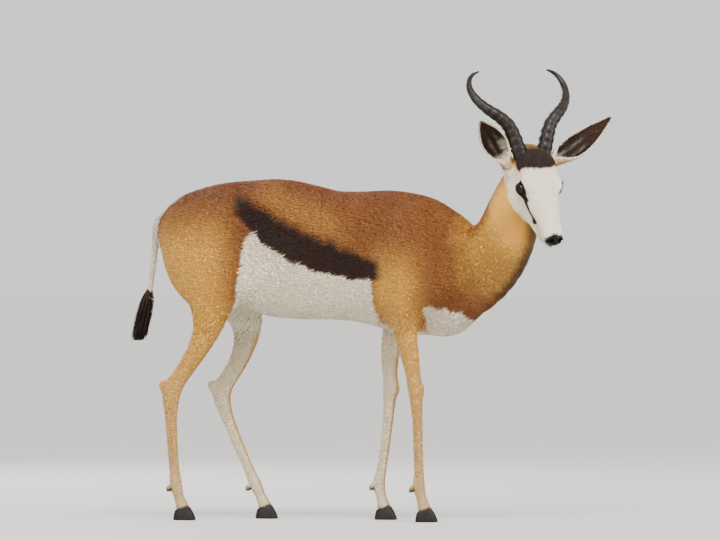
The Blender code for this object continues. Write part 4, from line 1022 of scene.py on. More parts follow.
            # Golden higher up the leg: partly the leg's own colour, partly painted sunlight.
            leg_with_painted_sun = mix(paints.leg[None], paints.golden[None], 0.60 * ramp(z, 0.20, 0.46))
            paler = mix(leg_with_painted_sun, paints.cream[None], 0.40 * ramp(-z, -0.20, -0.05))
            out = mix(out, mix(paints.cream[None] + 0 * out, paler, tan), share)
            claws = rows[3]
            heel = np.linalg.norm(points - (claws[0], claws[1] + 0.0175, claws[2] - 0.012), axis=1)
            out = mix(out, paints.bare[None], ramp(-heel, -0.0150, -0.0105))
            cuff = ramp(-above_coronet(points), -0.009, -0.003) * near
            out = mix(out, paints.crown[None], 0.75 * cuff)
        return out

    def neck(self, points: Array, normals: Array, out: Array) -> Array:
        """Adds the golden side of the neck, partly painted sunlight, and its browner throat and nape; the throat brown
        on skin that faces forward is partly painted shade.
        """
        paints = self.paints
        _, y, z = points.T
        share = ramp(-y, 0.340, 0.425) * ramp(z + 0.45 * (-y - 0.36), 0.540, 0.640)
        share = np.clip(share + 0.15 * wobble(points, 0.07, 11) * (share > 0.02) * (share < 0.98), 0, 1)
        # The golden side is partly painted sunlight.
        side = mix(paints.golden[None], paints.cinnamon[None], 0.15 + 0.15 * wobble(points, 0.12, 12))
        # Skin that faces forward takes the throat brown: partly its own colour, partly painted shade.
        front = ramp(-normals @ unit([-0.3, 0.90, 0.30]), 0.12, 0.70)
        nape = ramp(normals @ unit([0.0, 0.80, 0.55]), 0.45, 0.90)
        side = mix(side, paints.throat[None], 0.95 * front)
        side = mix(side, paints.cinnamon[None], 0.65 * nape)
        side = mix(side, paints.throat[None], 0.30 * ramp(-z, -0.700, -0.600))
        return mix(out, side, share)

    def head(self, points: Array, normals: Array, out: Array) -> Array:
        """Adds the white face, brown crown, cheek stripes, eye rings, nose and lips."""
        paints = self.paints
        f, s, u = Pose.local(points).T
        side = np.abs(s)
        ragged = 0.0018 * wobble(points, 0.018, 13) + 0.0008 * wobble(points, 0.006, 14)
        here = ramp(f + 0.044 + 2.0 * ragged, -0.024, 0.016) * self.on_skull(points)
        out = mix(out, paints.face[None], here)
        crown_edge = -0.026 - 0.30 * np.clip(side - 0.012, 0, 0.03)
        temple = np.zeros(len(points))
        for sign in SIDES.values():
            root = Pose.at(EAR_BASE[0] + 0.022, sign * (EAR_BASE[1] - 0.004), EAR_BASE[2] - 0.010)
            temple = np.maximum(temple, ramp(0.034 - np.linalg.norm(points - root, axis=1), 0.0, 0.016))
        out = mix(out, paints.face[None], 0.75 * temple)
        crown = ramp(crown_edge - f + ragged, -0.003, 0.003) * ramp(u + ragged, 0.003, 0.010)
        crown = crown * ramp(0.060 - side, 0.0, 0.010) * ramp(f, -0.120, -0.080)
        out = mix(out, paints.crown[None], crown)
        out = mix(out, paints.stripe[None], self.stripe(points, ragged))
        for sign in SIDES.values():
            away = points - eye_centre(sign)
            along, gaze, rise = eye_frame(sign)
            a, g, c = away @ along, away @ gaze, away @ rise
            ring = np.sqrt((a / 0.0182) ** 2 + (c / 0.0125) ** 2)
            dark = ramp(1.36 + 0.12 * np.clip(a / 0.018, -1.0, 1.0) - ring + 20 * ragged, 0.0, 0.22) * (g > 0.003)
            out = mix(out, paints.stripe[None], dark)
            out = mix(out, paints.rim[None], ramp(1.10 - ring, 0.0, 0.10) * (g > 0.004))
        nose = ramp(f - 0.1380 - 0.25 * np.clip(side - 0.010, 0, 0.02) + ragged, 0.0, 0.0012)
        nose = nose * ramp(u, -0.031, -0.025)
        out = mix(out, paints.bare[None], nose)
        nostril = np.sqrt(((f - 0.144) / 0.011) ** 2 + ((side - 0.0150) / 0.0070) ** 2 + ((u + 0.0085) / 0.0075) ** 2)
        out = mix(out, paints.bare[None], ramp(1.10 - nostril, 0.0, 0.20))
        return mix(out, paints.bare[None], self.lips(points))

    def on_skull(self, points: Array) -> Array:
        """Share of each point that is on the head and not on the neck."""
        near = np.flatnonzero(np.linalg.norm(points - Pose.at(0.03, 0.0, -0.02), axis=1) < 0.19)
        out = np.zeros(len(points))
        value = self.skull.value(points[near]) + 0.002 * wobble(points[near], 0.03, 17)
        out[near] = ramp(-value, -0.0085, -0.0015)
        return out

    @staticmethod
    def nearest(points: Array, path: Array) -> tuple[Array, Array]:
        """Distance to a path and share of the way along it, for each point."""
        best = np.full(len(points), FAR)
        share = np.zeros(len(points))
        for i in range(len(path) - 1):
            span = path[i + 1] - path[i]
            t = np.clip((points - path[i]) @ span / (span @ span), 0.0, 1.0)
            away = np.linalg.norm(points - path[i] - t[:, None] * span, axis=1)
            closer = away < best
            best[closer] = away[closer]
            share[closer] = (i + t[closer]) / (len(path) - 1)
        return best, share

    def stripe(self, points: Array, ragged: Array) -> Array:
        """Share of the dark line from each eye to the corner of the mouth, seen from the side."""
        f, s, u = Pose.local(points).T
        flat = np.stack([f, 0 * f, u], axis=1)
        away, share = self.nearest(flat, np.array([(f, 0.0, u) for f, u in CHEEK_LINE]))
        wide = np.interp(share, [0.0, 0.2, 0.6, 1.0], [0.0100, 0.0100, 0.0096, 0.0070])
        return ramp(wide - away + 0.6 * ragged, -0.0010, 0.0012) * (np.abs(s) > 0.012)

    def lips(self, points: Array) -> Array:
        """Share of the dark line of the mouth."""
        total = np.zeros(len(points))
        for sign in SIDES.values():
            path = np.array([Pose.at(f, sign * s, u) for f, s, u in MOUTH])
            away, share = self.nearest(points, path)
            wide = np.interp(share, [0.0, 0.35, 1.0], [0.0060, 0.0036, 0.0018])
            total = np.maximum(total, ramp(wide - away, -0.0006, 0.0010))
        return total

    def tail(self, points: Array, out: Array) -> Array:
        """Adds the white tail."""
        paints = self.paints
        share = ramp(points[:, 1], 0.384, 0.394) * ramp(points[:, 2], 0.44, 0.46)
        return mix(out, paints.belly[None], share)

    def wetness(self, points: Array) -> Array:
        """Share of bare, moist skin: nose, nostrils and lips."""
        f, s, u = Pose.local(points).T
        nose = ramp(f - 0.1385, 0.0, 0.004) * ramp(u, -0.031, -0.025)
        return np.maximum(nose, 0.6 * self.lips(points))


def add_mesh(name: str, points: Array, faces: Array, material: bpy.types.Material) -> bpy.types.Object:
    """A smooth mesh object in the scene, from points and faces that all have one size."""
    mesh = bpy.data.meshes.new(name)
    corners = faces.shape[1]
    mesh.vertices.add(len(points))
    mesh.vertices.foreach_set("co", np.asarray(points, np.float32).ravel())
    mesh.loops.add(faces.size)
    mesh.loops.foreach_set("vertex_index", np.asarray(faces, np.int32).ravel())
    mesh.polygons.add(len(faces))
    mesh.polygons.foreach_set("loop_start", np.arange(0, faces.size, corners, dtype=np.int32))
    mesh.update(calc_edges=True)
    mesh.validate()
    mesh.shade_smooth()
    mesh.materials.append(material)
    obj = bpy.data.objects.new(name, mesh)
    bpy.context.scene.collection.objects.link(obj)
    return obj


def add_value(obj: bpy.types.Object, name: str, values: Array) -> None:
    """Adds a colour or a number for each point of the object."""
    colour = values.ndim == 2
    kind = "FLOAT_COLOR" if colour else "FLOAT"
    layer = obj.data.attributes.new(name, kind, "POINT")
    if colour:
        values = np.column_stack([values, np.ones(len(values))])
    layer.data.foreach_set("color" if colour else "value", np.asarray(values, np.float32).ravel())


def triangles(quads: Array) -> Array:
    """Two triangles for each quad."""
    return np.vstack([quads[:, [0, 1, 2]], quads[:, [0, 2, 3]]])


def point_normals(points: Array, quads: Array) -> Array:
    """Outward direction at each point, the mean of its faces' directions."""
    a, b, c, d = (points[quads[:, n]] for n in range(4))
    face = np.cross(c - a, d - b)
    out = np.zeros_like(points)
    for n in range(4):
        for axis in range(3):
            out[:, axis] += np.bincount(quads[:, n], face[:, axis], len(points))
    return units(out)


@dataclass
class Surface:
    """A mesh that hair grows from."""

    points: Array
    faces: Array
    normals: Array

    def scatter(self, count: int, weight: Array, seed: int) -> tuple[Array, Array]:
        """Places spread over the surface at random.

        Args:
            count: Number of places.
            weight: How densely each triangle is covered.
            seed: Seed of the spread.

        Returns:
            The places and the surface's direction at each.
        """
        rng = np.random.default_rng(seed)
        corners = self.points[self.faces]
        area = np.linalg.norm(np.cross(corners[:, 1] - corners[:, 0], corners[:, 2] - corners[:, 0]), axis=1)
        share = area * weight
        pick = np.searchsorted(np.cumsum(share) / share.sum(), rng.random(count))
        pick = np.minimum(pick, len(self.faces) - 1)
        a, b = rng.random((2, count))
        flip = a + b > 1.0
        a[flip], b[flip] = 1.0 - a[flip], 1.0 - b[flip]
        share = np.stack([1.0 - a - b, a, b], axis=1)[:, :, None]
        face = self.faces[pick]
        return (self.points[face] * share).sum(axis=1), units((self.normals[face] * share).sum(axis=1))


class Chart:
    """Flat map of a surface, on which each tuft has its own small patch."""

    MOST_FACES = 3000
    PATCH = 0.0015

    def __init__(self, surface: Surface) -> None:
        """Thins the surface out and unwraps it."""
        mesh = bpy.data.meshes.new("chart")
        mesh.from_pydata(surface.points.tolist(), [], surface.faces.tolist())
        obj = bpy.data.objects.new("chart", mesh)
        bpy.context.scene.collection.objects.link(obj)
        thinner = obj.modifiers.new("thin", "DECIMATE")
        thinner.ratio = min(1.0, self.MOST_FACES / len(surface.faces))
        bpy.ops.object.select_all(action="DESELECT")
        bpy.context.view_layer.objects.active = obj
        obj.select_set(True)
        bpy.ops.object.modifier_apply(modifier=thinner.name)
        bpy.ops.object.mode_set(mode="EDIT")
        bpy.ops.mesh.select_all(action="SELECT")
        bpy.ops.uv.smart_project(angle_limit=math.radians(66.0), island_margin=0.004)
        bpy.ops.object.mode_set(mode="OBJECT")
        self.read(obj.data)
        bpy.data.objects.remove(obj)

    def read(self, mesh: bpy.types.Mesh) -> None:
        """Keeps the triangles' corners in space and on the map."""
        mesh.calc_loop_triangles()
        corners = np.empty(3 * len(mesh.loop_triangles), np.int32)
        mesh.loop_triangles.foreach_get("loops", corners)
        owner = np.empty(len(mesh.loops), np.int32)
        mesh.loops.foreach_get("vertex_index", owner)
        place = np.empty(3 * len(mesh.vertices), np.float32)
        mesh.vertices.foreach_get("co", place)
        flat = np.empty(2 * len(mesh.loops), np.float32)
        mesh.uv_layers.active.data.foreach_get("uv", flat)
        corners = corners.reshape(-1, 3)
        self.corners = place.reshape(-1, 3)[owner[corners]].astype(float)
        self.flat = flat.reshape(-1, 2)[corners].astype(float)
        whole = self.corners.reshape(-1, 3)
        faces = np.arange(len(whole)).reshape(-1, 3)
        self.tree = BVHTree.FromPolygons(whole.tolist(), faces.tolist())

    def places(self, points: Array) -> Array:
        """Where each point lands on the map."""
        found = [self.tree.find_nearest(point) for point in points.tolist()]
        index = np.array([hit[2] for hit in found])
        at = np.array([hit[0] for hit in found])
        a, b, c = self.corners[index].transpose(1, 0, 2)
        ab, ac, ap = b - a, c - a, at - a
        d00, d01, d11 = (ab * ab).sum(1), (ab * ac).sum(1), (ac * ac).sum(1)
        d20, d21 = (ap * ab).sum(1), (ap * ac).sum(1)
        scale = np.maximum(d00 * d11 - d01 * d01, 1e-18)
        v = (d11 * d20 - d01 * d21) / scale
        w = (d00 * d21 - d01 * d20) / scale
        share = np.stack([1.0 - v - w, v, w], axis=1)[:, :, None]
        return (self.flat[index] * share).sum(axis=1)


class Tufts:
    """Flat tapered tufts of hair over a surface, each a closed solid of six faces."""

    POINTS = 5
    FACES = np.array([(0, 2, 1), (0, 3, 2), (0, 1, 3), (1, 2, 4), (2, 3, 4), (3, 1, 4)])
    CORNERS = np.array([(0.0, 0.0), (-1.0, 0.5), (0.0, 0.6), (1.0, 0.5), (0.0, 1.0)])
    # Painted shade at each tuft's root and painted light at its tip.
    ROOT_PAINTED_SHADE = 0.86
    TIP_PAINTED_LIGHT = 1.02

    def __init__(self, name: str, seed: int) -> None:
        """Names the piece and seeds its chance."""
        self.name = name
        self.rng = np.random.default_rng(seed)

    def shape(self, roots: Array, normals: Array, lie: Array, sizes: Array, sink: Callable[[Array], Array]) -> Array:
        """Points of every tuft.

        Args:
            roots: Where each tuft starts.
            normals: The skin's direction there.
            lie: Which way each tuft lies, along the skin.
            sizes: Length, width and height of each tuft as columns.
            sink: Gives how far outside the coat's limit each point is.

        Returns:
            Five points for each tuft.
        """
        length, width, lift = sizes.T[:, :, None]
        across = np.cross(lie, normals)
        tip = roots + lie * length
        for _ in range(2):
            tip = tip - normals * sink(tip)[:, None]
        drop = ((tip - roots) * normals).sum(axis=1)[:, None]
        start = roots - normals * 0.0006
        middle = roots + lie * length * 0.42 + normals * (0.34 * drop + 0.10 * lift)
        ridge = roots + lie * length * 0.48 + normals * (0.50 * drop + 0.55 * lift)
        ridge = ridge - normals * np.maximum(sink(ridge), 0.0)[:, None]
        corners = [start, middle - across * width / 2, ridge, middle + across * width / 2, tip]
        return np.stack(corners, axis=1)

    def build(
        self, solid: Array, roots: Array, colours: Array, chart: Chart, material: bpy.types.Material
    ) -> bpy.types.Object:
        """The piece as an object with its colours and its map.

        Args:
            solid: Five points for each tuft.
            roots: Where each starts.
            colours: The coat's colour there.
            chart: The unwrapped skin under the piece.
            material: The hair's finish.

        Returns:
            The new object.
        """
        count = len(solid)
        faces = (self.FACES[None] + self.POINTS * np.arange(count)[:, None, None]).reshape(-1, 3)
        obj = add_mesh(self.name, solid.reshape(-1, 3), faces, material)
        shade = 1.0 + 0.05 * self.rng.standard_normal((count, 1, 1))
        # Painted shade along each tuft: darkest at the root, darker on its sides than on its ridge, lightest at the
        # tip.
        along = np.array([self.ROOT_PAINTED_SHADE, 0.96, 1.0, 0.96, self.TIP_PAINTED_LIGHT])[None, :, None]
        tone = np.clip(colours[:, None, :] * np.clip(shade, 0.75, 1.25) * along, 0.0, 1.0)
        add_value(obj, "coat_colour", tone.reshape(-1, 3))
        flat = chart.places(roots)[:, None, :] + (self.CORNERS - (0.0, 0.5))[None] * (2 * Chart.PATCH, 2 * Chart.PATCH)
        layer = obj.data.uv_layers.new(name="OFBake")
        owner = np.empty(len(obj.data.loops), np.int32)
        obj.data.loops.foreach_get("vertex_index", owner)
        layer.data.foreach_set("uv", flat.reshape(-1, 2)[owner].astype(np.float32).ravel())
        return obj


class Region(Enum):
    """The pieces that the coat is made in, with the number of tufts of each."""

    HEAD_RIGHT = ("coat_head_right", 24000)
    HEAD_LEFT = ("coat_head_left", 24000)
    NECK = ("coat_neck", 24000)
    FRONT_RIGHT = ("coat_front_right", 24000)
    FRONT_LEFT = ("coat_front_left", 24000)
    REAR_RIGHT = ("coat_rear_right", 27000)
    REAR_LEFT = ("coat_rear_left", 27000)
    FORE_LEGS = ("coat_fore_legs", 20000)
    HIND_LEGS = ("coat_hind_legs", 22000)


class Coat:
    """Short coat over the skin, in one piece for each region."""

    HEAD_MIDDLE = (0.020, 0.0, -0.020)
    LEG_TOP = 0.47
    TIP_DEPTH = 0.0003

    def __init__(self, skin: Skin, normals: Array, markings: Markings) -> None:
        """Keeps the skin and the colours that the tufts take."""
        self.skin = skin
        self.markings = markings
        self.surface = Surface(skin.points, triangles(skin.quads), normals)

    @staticmethod
    def region(points: Array) -> Array:
        """Number of the region that each point is in, in Region's order."""
        f, s, u = Pose.local(points).T
        x, y, z = points.T
        near = np.linalg.norm(points - Pose.at(*Coat.HEAD_MIDDLE), axis=1)
        head = near < 0.125 + 0.02 * (f > 0)
        neck = ~head & ((points - (0.0, -0.345, 0.610)) @ unit([0.0, -0.975, 0.222]) > 0)
        out = np.where(y < 0.02, np.where(x < 0, 3, 4), np.where(x < 0, 5, 6))
        out[(z < Coat.LEG_TOP) & (y < 0.02)] = 7
        out[(z < Coat.LEG_TOP) & (y >= 0.02) & (y < 0.395)] = 8
        out[neck] = 2
        out[head] = np.where(s[head] < 0, 0, 1)
        return out

    @staticmethod
    def lie(points: Array, normals: Array, rng: np.random.Generator) -> Array:
        """Which way the hair lies at each point, along the skin."""
        near = np.linalg.norm(points - Pose.at(*Coat.HEAD_MIDDLE), axis=1)
        head = ramp(-near, -0.150, -0.105)
        x, y, z = points.T
        neck = ramp(-y, 0.33, 0.42) * ramp(z, 0.55, 0.62)
        legs = ramp(-z, -0.56, -0.46)
        flow = np.array([[0.0, 0.93, -0.36]]) + np.zeros_like(points)
        back = ramp(z, 0.74, 0.80)
        flow[:, 2] += 0.36 * back
        flow = mix(flow, np.array([[0.03, 0.25, -0.95]]), neck)
        flow = mix(flow, np.array([[0.0, 0.12, -1.0]]), legs)
        tail = ramp(y, 0.385, 0.395)
        flow = mix(flow, np.array([[0.0, 0.05, -1.0]]), tail)
        _, side, above = Pose.local(points).T
        fan = np.clip(side / 0.05, -1, 1)[:, None] * Pose.LEFT * 0.30 - 0.25 * (above < -0.02)[:, None] * Pose.DORSAL
        flow = mix(flow, -Pose.FORWARD[None] + fan, head)
        swirl = np.stack([wobble(points, 0.05, 21), wobble(points, 0.05, 22), wobble(points, 0.05, 23)], axis=1)
        flow = flow + 0.16 * swirl + rng.normal(0.0, 0.11, points.shape)
        flow = flow - normals * (flow * normals).sum(axis=1)[:, None]
        return units(flow)

    @staticmethod
    def sizes(points: Array, rng: np.random.Generator) -> Array:
        """Length, width and height of the tuft at each point, as columns."""
        f, s, u = Pose.local(points).T
        x, y, z = points.T
        near = np.linalg.norm(points - Pose.at(*Coat.HEAD_MIDDLE), axis=1)
        length = 0.0158 + 0.003 * ramp(-z, -0.56, -0.50)
        width = np.full(len(points), 0.0025)
        rump = ramp(y, 0.33, 0.36) * ramp(0.05 - np.abs(x), 0.0, 0.02)
        length = length + 0.006 * rump
        legs = ramp(-z, -0.49, -0.38)
        length = length * (1 - legs) + 0.0085 * legs
        width = width * (1 - legs) + 0.0017 * legs
        feet = ramp(-z, -0.14, -0.08)
        length = length * (1 - feet) + 0.0060 * feet
        width = width * (1 - feet) + 0.0013 * feet
        tail = ramp(y, 0.387, 0.394) * (z > 0.5)
        length = length * (1 - tail) + 0.0130 * tail
        width = width * (1 - tail) + 0.0015 * tail
        head = ramp(-near, -0.165, -0.100)
        muzzle = ramp(f, 0.126, 0.138)
        face = 0.0058 - 0.0020 * ramp(f, 0.02, 0.12) - 0.0022 * muzzle
        length = length * (1 - head) + face * head
        width = width * (1 - head) + (0.0012 - 0.0002 * ramp(f, 0.02, 0.12) - 0.0003 * muzzle) * head
        length = length * rng.uniform(0.78, 1.20, len(points))
        width = width * rng.uniform(0.80, 1.20, len(points))
        return np.stack([length, width, 0.15 * width + 0.0001], axis=1)

    @staticmethod
    def bare(points: Array) -> Array:
        """Where no hair grows: eyes, nostrils, the line of the mouth and inside the hooves."""
        f, s, u = Pose.local(points).T
        nose = f > 0.1405 + 0.25 * np.clip(np.abs(s) - 0.010, 0, 0.02)
        out = (above_coronet(points) < 0.0015) | (nose & (u > -0.030))
        for sign in SIDES.values():
            along, gaze, rise = eye_frame(sign)
            away = points - eye_centre(sign)
            ring = np.sqrt((away @ along / 0.0182) ** 2 + (away @ rise / 0.0128) ** 2)
            out |= (ring < 1.0) & (away @ gaze > 0.0)
        return out | (np.abs(u + 0.030) < 0.0022) & (f > 0.10)

    def density(self, middles: Array) -> Array:
        """Relative number of tufts for each area, from the size they have there."""
        sizes = self.sizes(middles, np.random.default_rng(1))
        plain = 1.0 / (sizes[:, 0] * sizes[:, 1])
        return plain * ~self.bare(middles)

    def sink(self, points: Array) -> Array:
        """How far outside the coat's limit each point is."""
        return self.skin.flesh.value(points) + self.TIP_DEPTH

    def build(self, material: bpy.types.Material) -> list[bpy.types.Object]:
        """Every piece of the coat."""
        middles = self.surface.points[self.surface.faces].mean(axis=1)
        owner = self.region(middles)
        weight = self.density(middles)
        return [self.piece(number, region, owner, weight, material) for number, region in enumerate(Region)]

    def piece(self, number: int, region: Region, owner: Array, weight: Array, material: bpy.types.Material) -> bpy.types.Object:
        """One region's tufts.

        Args:
            number: The region's number.
            region: Its name and count.
            owner: The region of each of the skin's triangles.
            weight: How densely each triangle is covered.
            material: The hair's finish.

        Returns:
            The new object.
        """
        name, count = region.value
        mine = owner == number
        used, faces = np.unique(self.surface.faces[mine], return_inverse=True)
        patch = Surface(self.surface.points[used], faces.reshape(-1, 3), self.surface.normals[used])
        tufts = Tufts(name, 40 + number)
        roots, normals = patch.scatter(count, weight[mine], 80 + number)
        keep = ~self.bare(roots)
        roots, normals = roots[keep], normals[keep]
        lie = self.lie(roots, normals, tufts.rng)
        sizes = self.sizes(roots, tufts.rng)
        solid = tufts.shape(roots, normals, lie, sizes, self.sink)
        colours = self.markings.colour(roots, normals)
        return tufts.build(solid, roots, colours, Chart(patch), material)


def rings_mesh(rings: Array, closed_ends: bool = True) -> Array:
    """Triangles of a tube whose rings all have the same number of points."""
    count, around = rings.shape[:2]
    base = np.arange(count - 1)[:, None] * around
    i = np.arange(around)[None]
    j = (i + 1) % around
    quads = np.stack(np.broadcast_arrays(base + i, base + j, base + j + around, base + i + around), axis=-1)
    faces = [triangles(quads.reshape(-1, 4))]
    if closed_ends:
        first = np.arange(1, around - 1)
        last = (count - 1) * around
        faces.append(np.stack([0 * first, first + 1, first], axis=1))
        faces.append(last + np.stack([0 * first, first, first + 1], axis=1))
    return outward(rings.reshape(-1, 3), np.vstack(faces))


def outward(points: Array, faces: Array) -> Array:
    """Faces turned so that the closed shape's outside faces out."""
    a, b, c = (points[faces[:, n]] for n in range(3))
    return faces if (np.cross(a, b) * c).sum() > 0 else faces[:, ::-1]


def face_normals(points: Array, faces: Array) -> Array:
    """Outward direction at each point of a mesh of triangles."""
    a, b, c = (points[faces[:, n]] for n in range(3))
    face = np.cross(b - a, c - a)
    out = np.zeros_like(points)
    for n in range(3):
        for axis in range(3):
            out[:, axis] += np.bincount(faces[:, n], face[:, axis], len(points))
    return units(out)


class Ear:
    """One cupped ear: fawn back, dark lining and pale rim."""

    ARC = 22
    PER_SPAN = 5
    THICKNESS = 0.86
    PALE_ROOT = {"right": 0.45, "left": 1.0}

    def __init__(self, side: str, paints: CoatPaints) -> None:
        """Draws the ear of one side."""
        self.side = side
        self.sign = SIDES[side]
        self.paints = paints
        out, ahead, up = EAR_REACH[side]
        self.reach = out * self.sign * Pose.LEFT + ahead * Pose.HEADING + up * Pose.RISE
        aside, front, above = EAR_OPENING[side]
        opening = unit(aside * self.sign * Pose.LEFT + front * Pose.HEADING + above * Pose.RISE)
        self.opening = unit(opening - self.reach * (self.reach @ opening) / (self.reach @ self.reach))
        self.draw()

    def draw(self) -> None:
        """Points, faces and colours of the ear."""
        base = Pose.at(EAR_BASE[0], self.sign * EAR_BASE[1], EAR_BASE[2])
        width = unit(np.cross(self.reach, self.opening))
        rows = catmull(EAR_SECTIONS, self.PER_SPAN)
        turn = np.linspace(-1.0, 1.0, self.ARC + 1)
        rings, inside, edge, along, medial = [], [], [], [], []
        for t, wide, deep, arc, wall in rows:
            at = base + self.reach * t - self.opening * EAR_BOW * math.sin(math.pi * max(t, 0.0))
            at = at - self.sign * Pose.LEFT * EAR_ROOT_TURN * max(-t, 0.0)
            angles = math.radians(arc) * turn
            wall = min(wall, 0.0034 if t > 0.2 else wall)
            sin, cos = np.sin(angles)[:, None], np.cos(angles)[:, None]
            outer = at + width * (wide - 0.0004) * sin - self.opening * (deep - 0.0004) * cos
            back = angles[::-1] * 0.97
            sin, cos = np.sin(back)[:, None], np.cos(back)[:, None]
            thin = wall * self.THICKNESS
            inner = at + width * (wide - thin) * sin - self.opening * (deep - thin) * cos
            rings.append(np.vstack([outer, inner]))
            inside.append(np.concatenate([np.zeros(self.ARC + 1), np.ones(self.ARC + 1)]))
            edge.append(np.abs(np.concatenate([turn, turn[::-1]])))
            along.append(np.full(2 * self.ARC + 2, t))
            medial.append((rings[-1] - at) @ (-self.sign * Pose.LEFT))
        self.points = np.array(rings).reshape(-1, 3)
        self.faces = rings_mesh(np.array(rings))
        self.inside = np.concatenate(inside)
        self.edge = np.concatenate(edge)
        self.along = np.concatenate(along)
        self.medial = np.concatenate(medial)
        self.normals = face_normals(self.points, self.faces)
        self.colours = self.paint()

    def paint(self) -> Array:
        """Colour of each point of the ear."""
        paints = self.paints
        ragged = 0.05 * wobble(self.points, 0.02, 31)
        back = mix(paints.ear_back[None], paints.face[None], 0.45 * ramp(self.edge + ragged, 0.65, 1.0))
        back = mix(back, paints.crown[None], 0.45 * ramp(self.along, 0.86, 1.0))
        lining = mix(paints.ear_inside[None], paints.throat[None], 0.20 * ramp(self.along, 0.4, 0.9))
        pale = ramp(self.edge + 1.5 * ragged, 0.74, 0.93)
        low = 0.9 * ramp(-self.along + ragged, -0.20, -0.10)
        pale_root = self.PALE_ROOT[self.side]
        spot = pale_root * ramp(self.medial + 0.02 * ragged, 0.003, 0.009) * ramp(-self.along, -0.44, -0.32)
        streak = 0.22 * ramp(-np.abs(self.edge - 0.22) + ragged, -0.10, 0.02) * ramp(-self.along, -0.70, -0.40)
        lining = mix(lining, paints.face[None], np.maximum.reduce([pale, low, spot, streak]))
        lining = mix(lining, paints.crown[None], 0.6 * ramp(self.along, 0.93, 1.0))
        return mix(back, lining, self.inside)

    def build(self, material: bpy.types.Material) -> bpy.types.Object:
        """The ear as an object."""
        obj = add_mesh(f"ear_{self.side}_skin", self.points, self.faces, material)
        add_value(obj, "coat_colour", self.colours)
        add_value(obj, "moist", np.zeros(len(self.points)))
        return obj


class EarCoat:
    """Short hair over both ears, longer and paler inside the cups."""

    COUNT = 13000

    def __init__(self, ears: list[Ear]) -> None:
        """Keeps the ears that the hair grows from."""
        self.ears = ears

    def build(self, material: bpy.types.Material) -> list[bpy.types.Object]:
        """One piece of hair for each ear."""
        return [self.piece(ear, number, material) for number, ear in enumerate(self.ears)]

    def piece(self, ear: Ear, number: int, material: bpy.types.Material) -> bpy.types.Object:
        """The hair of one ear."""
        tufts = Tufts(f"coat_ear_{ear.side}", 60 + number)
        values = np.column_stack([ear.inside, ear.edge, ear.along, ear.colours])
        surface = Surface(ear.points, ear.faces, ear.normals)
        mid = values[ear.faces].mean(axis=1)
        weight = np.where(mid[:, 0] > 0.5, 0.35 + 1.0 * ramp(mid[:, 1], 0.6, 0.9), 1.0) * (mid[:, 2] > -0.02)
        roots, normals = surface.scatter(self.COUNT, weight, 90 + number)
        tree = BVHTree.FromPolygons(ear.points.tolist(), ear.faces.tolist())
        face = ear.faces[[tree.find_nearest(root)[2] for root in roots.tolist()]]
        near = values[face].mean(axis=1)
        inner, edge = near[:, 0] > 0.5, near[:, 1]
        flow = unit(ear.reach)[None] + tufts.rng.normal(0.0, 0.13, roots.shape)
        flow = flow + (inner * 0.30)[:, None] * ear.opening
        flow = units(flow - normals * (flow * normals).sum(axis=1)[:, None])
        length = np.where(inner, 0.0080 + 0.006 * ramp(-near[:, 2], -0.45, -0.15), 0.0056)
        length = length * tufts.rng.uniform(0.7, 1.2, len(roots))
        width = np.where(inner, 0.00115, 0.00135) * tufts.rng.uniform(0.8, 1.2, len(roots))
        sizes = np.stack([length, width, np.where(inner, 0.0007, 0.0004)], axis=1)
        solid = tufts.shape(roots, normals, flow, sizes, lambda points: np.zeros(len(points)))
        lifted = normals * np.where(inner, 0.0010 + 0.0008 * (edge > 0.7), 0.0003)[:, None]
        solid[:, 4] += lifted
        solid[:, 2] += 0.5 * lifted
        return tufts.build(solid, roots, near[:, 3:6], Chart(surface), material)


